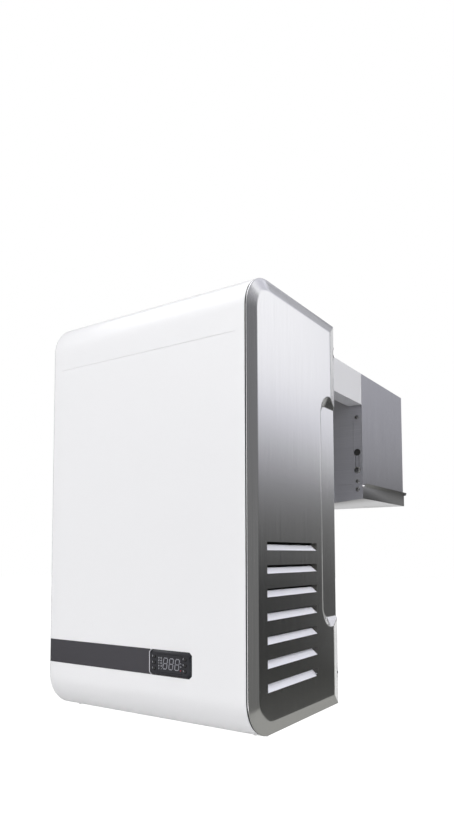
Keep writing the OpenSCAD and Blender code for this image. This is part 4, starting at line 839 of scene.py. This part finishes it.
black_screw = grained("black_screw", (0.03, 0.03, 0.032), 0.3, 900, 0.00001, coat=0.3)
strip_screw = mottled("strip_screw", (0.32, 0.32, 0.32), 0.22, 900,
                      (0.28, 0.28, 0.28), (0.38, 0.38, 0.38), metallic=1.0)
heads = [screw_head(panel_screw_r, panel_screw_h, (x, 0, z), "y", 1)
         for x in (-panel_screw_x, panel_screw_x) for z in panel_screw_rows]
surface("panel_screw_heads", heads, black_screw, "black_screw", "panel_screws", closed=True)
low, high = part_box("cover_screws")
heads = [screw_head(cover_screw_r, cover_screw_h, (x, (low.y + high.y) / 2, z), "z", side)
         for x in (low.x + cover_screw_r, high.x - cover_screw_r)
         for z, side in ((z_low, -1), (z_top, 1))]
surface("cover_screw_heads", heads, steel_screw, "steel_screw", "cover_screws", closed=True)
low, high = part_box("evaporator_screws")
first_z = low.z + strip_screw_r
heads = [screw_head(strip_screw_r, strip_screw_h, (x, strip_y, z), "y", -1) for x in strips
         for z in (first_z, first_z + strip_screw_pitch, high.z - strip_screw_r)]
surface("evaporator_screw_heads", heads, strip_screw, "black_screw", "evaporator_screws", closed=True)
low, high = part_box("hanger_screws")
hang_z = (low.z + high.z) / 2
heads = [screw_head((high.z - low.z) / 2, strip_screw_h, (x, strip_y, hang_z), "y", -1, hex_share)
         for x in strips]
surface("hanger_screw_heads", heads, strip_screw, "black_screw", "hanger_screws", closed=True)
# Painted shade: a black disc where the keyhole's round top shows the dark behind the plate, and black
# strips along the slot's edges, where shade gathers.
shade_disc_z = hang_z + keyhole_rise
disc = [(0, 0), (shade_disc_r - shade_disc_ease, 0), (shade_disc_r, -shade_disc_ease), (shade_disc_r, -shade_disc_t), (0, -shade_disc_t)]
keyhole_shade_parts = [turned(disc, 40, (x, strip_y + shade_strip_front, shade_disc_z), "y", -1) for x in strips]
for x in strips:
    for edge in (x - shade_strip_x, x + shade_strip_x):
        keyhole_shade_parts += box_grid((edge - shade_strip_w / 2, strip_y + shade_strip_back, hang_z),
                         (edge + shade_strip_w / 2, strip_y + shade_strip_front, shade_disc_z - shade_disc_r))
surface("keyhole_painted_shade", keyhole_shade_parts, grommet_rubber, "grommet_rubber", closed=True)

# The bridge through the wall and the evaporator's hood: folded sheet, the bridge painted pale grey,
# and the hood and its drip tray in satin steel. The faces of the hood and tray that look forward, and
# the wall plate, take a darker, duller copy of the steel, painted shade for the gap between casing
# and hood. The bridge is filled with pale foam, and dark foam seals the casing against the wall.
gasket_ease = 0.0012
forward = -0.9
bridge_paint = grained("bridge_paint", (0.52, 0.52, 0.54), 0.5, 1200, 0.00002)
foam_pale = grained("foam_pale", (0.72, 0.7, 0.62), 0.85, 900, 0.0002)
hood_steel = brushed("hood_steel", (0.50, 0.50, 0.53), (0.465, 0.465, 0.495), 0.32, anisotropy=0.3)
forward_painted_shade_steel = brushed("forward_painted_shade_steel", (0.46, 0.46, 0.50), (0.38, 0.38, 0.42), 0.42, "x")
socket(forward_painted_shade_steel, "Metallic").default_value = 0.3
tray_steel = brushed("tray_steel", (0.56, 0.56, 0.57), (0.52, 0.52, 0.53), 0.34, "x")
eased("bridge_channel", sheared_edge, bridge_paint, "bridge_paint")
cover_with(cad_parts["bridge_insulation"], foam_pale)
eased("wall_gasket", gasket_ease, foam_dark, "foam")
# Painted shade: faces whose normal points forward, towards the casing, take the darker, duller copy
# of the steel.
for node, made, slot in (("evaporator_side_left", hood_steel, "hood_steel"),
                         ("evaporator_side_right", hood_steel, "hood_steel"),
                         ("drip_tray", tray_steel, "tray_steel")):
    folded = eased(node, sheared_edge, made, slot)
    folded.data.materials.append(forward_painted_shade_steel)
    for face in folded.data.polygons:
        face.material_index = int(face.normal.y < forward)
for node, made in (("evaporator_top", hood_steel), ("evaporator_rear_panel", hood_steel),
                   ("evaporator_wall_plate", forward_painted_shade_steel)):
    eased(node, sheared_edge, made, "hood_steel")

# The two fans: moulded black impellers of five twisted blades on a cup that turns with the outer
# rotor of the motor. The upper one draws air through the condenser, the other through the coil.
blade_count = 5
blade_t = 0.0009
cup_half = 0.0165
cup_wall = 0.002
cup_lip = 0.0008
hub_depth = 0.006
tip_gap = 0.001


def blade_grid(root_r, tip_r, turn):
    """One blade as closed rings round its section, from the root to the tip. The chord grows with the
    0.8th power of the way out, the pitch eases, the blade sweeps forward, and the section is a thin
    foil on a parabola's camber."""
    root_share, tip_share, root_pitch, pitch_fall, sweep, camber = 0.95, 0.56, 30, 8, 0.25, 0.12
    around = np.linspace(0, 2 * math.pi, 29)
    along = -np.cos(around) / 2
    thickness = np.sign(np.sin(around)) * np.abs(np.sin(around))**0.8 * blade_t
    rings = []
    for s in np.linspace(0, 1, 17):
        r = root_r + (tip_r - root_r) * s
        chord = root_r * root_share + (tip_r * tip_share - root_r * root_share) * s**0.8
        pitch = math.radians(root_pitch - pitch_fall * s)
        arch = camber * chord * (0.25 - along**2)
        tangent = along * chord * math.cos(pitch) - thickness * math.sin(pitch)
        height = along * chord * math.sin(pitch) + thickness * math.cos(pitch) + arch
        angle = turn + sweep * s**1.5 + tangent / r
        rings.append(np.stack([r * np.cos(angle), r * np.sin(angle), height], axis=-1))
    root, tip = (np.tile(ring.mean(axis=0), (len(around), 1)) for ring in (rings[0], rings[-1]))
    return np.stack([root] + rings + [tip])


def impeller(node, body, axis, fan_r):
    """The cup, a turned profile, and the blades of a fan, in the place of the CAD's plain ones."""
    low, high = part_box(node)
    motor_low, motor_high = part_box(node.replace("_blades", "_motor"))
    cup_r = (motor_high.x - motor_low.x) / 2 + cup_wall
    inner_r = cup_r - cup_wall
    cup = [(0, -cup_half), (inner_r, -cup_half), (cup_r, cup_wall - cup_half),
           (cup_r, cup_half - cup_wall), (cup_r - cup_lip, cup_half), (inner_r, cup_half),
           (inner_r, cup_half - hub_depth), (0, cup_half - hub_depth)]
    grids = [turned(cup, 64, (0, 0, 0))]
    grids += [blade_grid(cup_r - cup_lip, fan_r - tip_gap, i * 2 * math.pi / blade_count)
              for i in range(blade_count)]
    if axis == "y":
        grids = [np.stack([g[..., 0], -g[..., 2], g[..., 1]], axis=-1) for g in grids]
    surface(node + "_moulding", [g + np.array((low + high) / 2) for g in grids], black_plastic,
            "black_plastic", node, body=body, closed=True)


impeller("condenser_fan_blades", "condenser_fan", "z", fan_r=0.125)
impeller("evaporator_fan_blades", "evaporator_fan", "y", fan_r=0.095)

# The fan guard on the evaporator: rings and spokes of round wire, moulded with the rim and the disc
# that carries the motor, and screwed to the rear panel round the fan's opening.
low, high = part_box("evaporator_fan_guard")
guard_mid = (low + high) / 2
wire_r = 0.0015
wire_y = high.y - wire_r
rim_outer = (high.x - low.x) / 2
guard_r = rim_outer - 0.009
motor_r = 0.035
rim_t, rim_ease = 0.003, 0.001
collar_half, crown_half = 0.0015, 0.0008
hoop_count, spoke_count, spoke_step = 3, 8, 0.01


def hoop(radius):
    """A ring of round wire about the Y axis: a circle carried round a circle."""
    section = [(radius + wire_r * math.cos(a), wire_r * math.sin(a))
               for a in np.linspace(0, 2 * math.pi, 13)]
    return turned(section, 72, (guard_mid.x, wire_y, guard_mid.z), "y")


def spoke(angle):
    """A straight round wire from the disc to the rim: a circle carried along a line, closed at both
    ends."""
    length = lines((motor_r - 2 * rim_ease, guard_r), spoke_step)[:, None]
    section = np.linspace(0, 2 * math.pi, 9)[None, :]
    side = wire_r * np.cos(section)
    tube = grid_of(length * math.cos(angle) - side * math.sin(angle) + guard_mid.x,
                   wire_r * np.sin(section) + wire_y,
                   length * math.sin(angle) + side * math.cos(angle) + guard_mid.z)
    ends = [np.tile(tube[k].mean(axis=0), (1, section.size, 1)) for k in (0, -1)]
    return np.concatenate([ends[0], tube, ends[1]])


rim = [(guard_r - collar_half, low.y), (rim_outer - rim_ease, low.y), (rim_outer, low.y + rim_ease),
       (rim_outer - rim_ease, low.y + rim_t), (guard_r + rim_t, low.y + rim_t),
       (guard_r + collar_half, low.y + 2 * rim_t), (guard_r + rim_ease, high.y - rim_ease),
       (guard_r - crown_half, high.y), (guard_r - 2 * rim_ease, high.y - collar_half),
       (guard_r - collar_half, low.y)]
disc = [(0, high.y), (motor_r - rim_ease, high.y), (motor_r, high.y - rim_ease),
        (motor_r, high.y - rim_t), (0, high.y - rim_t)]
guard = [hoop(motor_r + i * (guard_r - motor_r) / (hoop_count + 1)) for i in range(1, hoop_count + 1)]
guard += [turned(profile, steps, (guard_mid.x, 0, guard_mid.z), "y")
          for profile, steps in ((rim, 96), (disc, 64))]
guard += [spoke(i * 2 * math.pi / spoke_count) for i in range(spoke_count)]
surface("evaporator_guard_wires", guard, black_plastic, "black_plastic", "evaporator_fan_guard",
        closed=True)

# The stage: a plain pale floor well below the hanging unit, a white surround and soft lights. What
# the camera, gloss and glass see of the surround is white, at a strength of one. Grey cards stand
# round the unit, as in a studio: gloss alone sees them, and they give the brushed steel its tones.
floor_z = -1.3
floor_reach = 30
floor_glow, floor_share = 1.25, 0.85
surround_light = 0.55
white = (1, 1, 1, 1)
card_x, card_far, card_top = 2.4, 9.0, 9.0
card_near, card_front, card_mid, card_behind = -5.0, -1.6, 1.5, 5.2
back_x = 0.35
floor_card_z = floor_z + 0.01
floor_mid_x, floor_rear_x, floor_mid_y = 1.5, 0.3, 2.4


def stage_sheet(name, corners):
    """A flat four-cornered object of the stage."""
    mesh = bpy.data.meshes.new(name)
    mesh.from_pydata(corners, [], [(0, 1, 2, 3)])
    obj = in_scene(name, mesh)
    return obj


def show_as(made, plain, bright, share, output):
    """Shows the bright shader, by share, to camera, gloss and glass, and the plain one to the
    rest: a mix by the greatest of the three rays' factors, times share."""
    tree = made.node_tree
    path = tree.nodes.new("ShaderNodeLightPath")
    seen = path.outputs["Is Camera Ray"]
    for ray in ("Is Glossy Ray", "Is Transmission Ray"):
        most = add_node(tree, "ShaderNodeMath", {0: seen, 1: path.outputs[ray]})
        most.operation = "MAXIMUM"
        seen = most.outputs[0]
    scaled = add_node(tree, "ShaderNodeMath", {0: seen, 1: share})
    scaled.operation = "MULTIPLY"
    mix = add_node(tree, "ShaderNodeMixShader",
                   {0: scaled.outputs[0], 1: plain.outputs[0], 2: bright.outputs[0]})
    tree.links.new(mix.outputs["Shader"], tree.nodes[output].inputs["Surface"])


def soft_light(name, place, aim, size, power):
    """A square area light that faces a point, and that gloss doesn't see."""
    data = bpy.data.lights.new(name, "AREA")
    data.shape = "SQUARE"
    data.size = size
    data.energy = power
    obj = in_scene(name, data)
    facing = (Vector(aim) - Vector(place)).to_track_quat("-Z", "Y").to_matrix().to_4x4()
    obj.matrix_world = Matrix.Translation(place) @ facing
    obj.visible_camera = False
    obj.visible_glossy = False


def card(name, corners, stops, strength=1.0):
    """A card that gloss alone sees. Its grey follows the height, straight from each stop to the next:
    a stop is a height, a grey, and how many times bluer than grey it is."""
    obj = stage_sheet("card_" + name, corners)
    made = bpy.data.materials.new("card_" + name)
    made.use_nodes = True
    tree = made.node_tree
    tree.nodes.remove(tree.nodes["Principled BSDF"])
    place = tree.nodes.new("ShaderNodeTexCoord").outputs["Object"]
    height = add_node(tree, "ShaderNodeSeparateXYZ", {0: place}).outputs["Z"]
    bottom, top = stops[0][0], stops[-1][0]
    share = add_node(tree, "ShaderNodeMapRange",
                     {"Value": height, "From Min": bottom, "From Max": top})
    ramp = add_node(tree, "ShaderNodeValToRGB", {"Fac": share.outputs["Result"]})
    while len(ramp.color_ramp.elements) < len(stops):
        ramp.color_ramp.elements.new(0.5)
    for element, (z, grey, blue) in zip(ramp.color_ramp.elements, stops):
        element.position = (z - bottom) / (top - bottom)
        element.color = (grey, grey, grey * blue, 1)
    glow = add_node(tree, "ShaderNodeEmission",
                    {"Color": ramp.outputs["Color"], "Strength": strength})
    tree.links.new(glow.outputs["Emission"], tree.nodes["Material Output"].inputs["Surface"])
    cover_with(obj, made)
    obj.visible_camera = False
    obj.visible_diffuse = False
    obj.visible_shadow = False
    obj.visible_transmission = False


def upright_card(name, x0, y0, x1, y1, stops):
    """A card that stands on the floor between two points."""
    card(name, [(x0, y0, floor_z), (x1, y1, floor_z), (x1, y1, card_top), (x0, y0, card_top)], stops)


def level_card(name, x0, x1, y0, y1, z, grey, blue, strength=1.0):
    """A card of one grey that lies level at z."""
    card(name, [(x0, y0, z), (x1, y0, z), (x1, y1, z), (x0, y1, z)],
         [(floor_z, grey, blue), (card_top, grey, blue)], strength)


r, z = floor_reach, floor_z
floor = stage_sheet("floor", [(-r, -r, z), (r, -r, z), (r, r, z), (-r, r, z)])
floor_finish = material("pale_floor", (0.86, 0.86, 0.87), 0.9, specular=0.0)
glow = add_node(floor_finish.node_tree, "ShaderNodeEmission", {"Strength": floor_glow})
show_as(floor_finish, floor_finish.node_tree.nodes["Principled BSDF"], glow, floor_share,
        "Material Output")
cover_with(floor, floor_finish)

world = bpy.data.worlds.new("surround")
bpy.context.scene.world = world
world.use_nodes = True
background = world.node_tree.nodes["Background"]
background.inputs["Color"].default_value = white
background.inputs["Strength"].default_value = surround_light
show_as(world, background, add_node(world.node_tree, "ShaderNodeBackground", {"Color": white}), 1,
        "World Output")

soft_light("front_light", place=(-1.6, -3.4, 2.2), aim=(0, 0, 0), size=2.2, power=60)
soft_light("right_light", place=(3.4, -0.4, 1.0), aim=(0.2, 0, 0), size=2.0, power=75)

front_stops = [(floor_z, 0.13, 0.95), (0.2, 0.16, 1), (1.3, 0.16, 1.05), (2.4, 0.45, 1.05),
               (card_top, 1, 1)]
side_stops = [(floor_z, 0.045, 0.94), (-1.0, 0.036, 0.96), (-0.6, 0.032, 1), (-0.35, 0.038, 1),
              (-0.1, 0.075, 1), (0.21, 0.13, 1), (0.52, 0.22, 1.05), (0.84, 0.42, 1.06),
              (1.15, 0.69, 1.08), (1.46, 0.92, 1.03), (2.1, 1, 1.02), (2.6, 1, 1.02),
              (3.6, 0.6, 1.1), (card_top, 0.6, 1.1)]
rear_stops = [(floor_z, 0.2, 0.97), (0.3, 0.22, 0.98), (0.6, 0.32, 1), (0.8, 0.58, 1),
              (0.95, 0.85, 1.02), (1.25, 0.95, 1.03), (1.6, 0.72, 1.06), (1.95, 0.74, 1.08),
              (3.0, 0.55, 1.08), (4.5, 0.62, 1.1), (6.0, 0.82, 1.08), (card_top, 0.85, 1.08)]
back_stops = [(floor_z, 0.42, 0.96), (-0.4, 0.36, 0.97), (0.5, 0.2, 1), (1.5, 0.18, 1.04),
              (2.4, 0.28, 1.06), (card_top, 0.32, 1.06)]
fore_stops = [(floor_z, 0.03, 1), (card_top, 0.05, 1)]
left_stops = [(floor_z, 0.5, 0.97), (0.0, 0.42, 1), (1.5, 0.6, 1.02), (card_top, 0.8, 1)]
for name, x, y0, y1, stops in (("right_front", card_x, card_front, card_mid, front_stops),
                               ("right_side", card_x, card_mid, card_behind, side_stops),
                               ("right_fore", card_x, card_near, card_front, fore_stops),
                               ("right_rear", card_x, card_behind, card_far, rear_stops),
                               ("left_front", -card_x, card_front, card_mid, front_stops),
                               ("left_rear", -card_x, card_mid, card_far, left_stops)):
    upright_card(name, x, y0, x, y1, stops)
upright_card("back", back_x, card_far, card_x, card_far, back_stops)
for name, x0, x1, y0, y1, grey in (
        ("near", -card_x, card_x, card_front, floor_mid_y, 0.31),
        ("far", floor_mid_x, card_x, floor_mid_y, card_far, 0.06),
        ("rear", floor_rear_x, floor_mid_x, floor_mid_y, card_far, 0.3)):
    level_card("floor_" + name, x0, x1, y0, y1, floor_card_z, grey, 0.94)
level_card("over", x0=-6, x1=0, y0=-2.4, y1=0.5, z=3, grey=1, blue=1.03, strength=3.5)
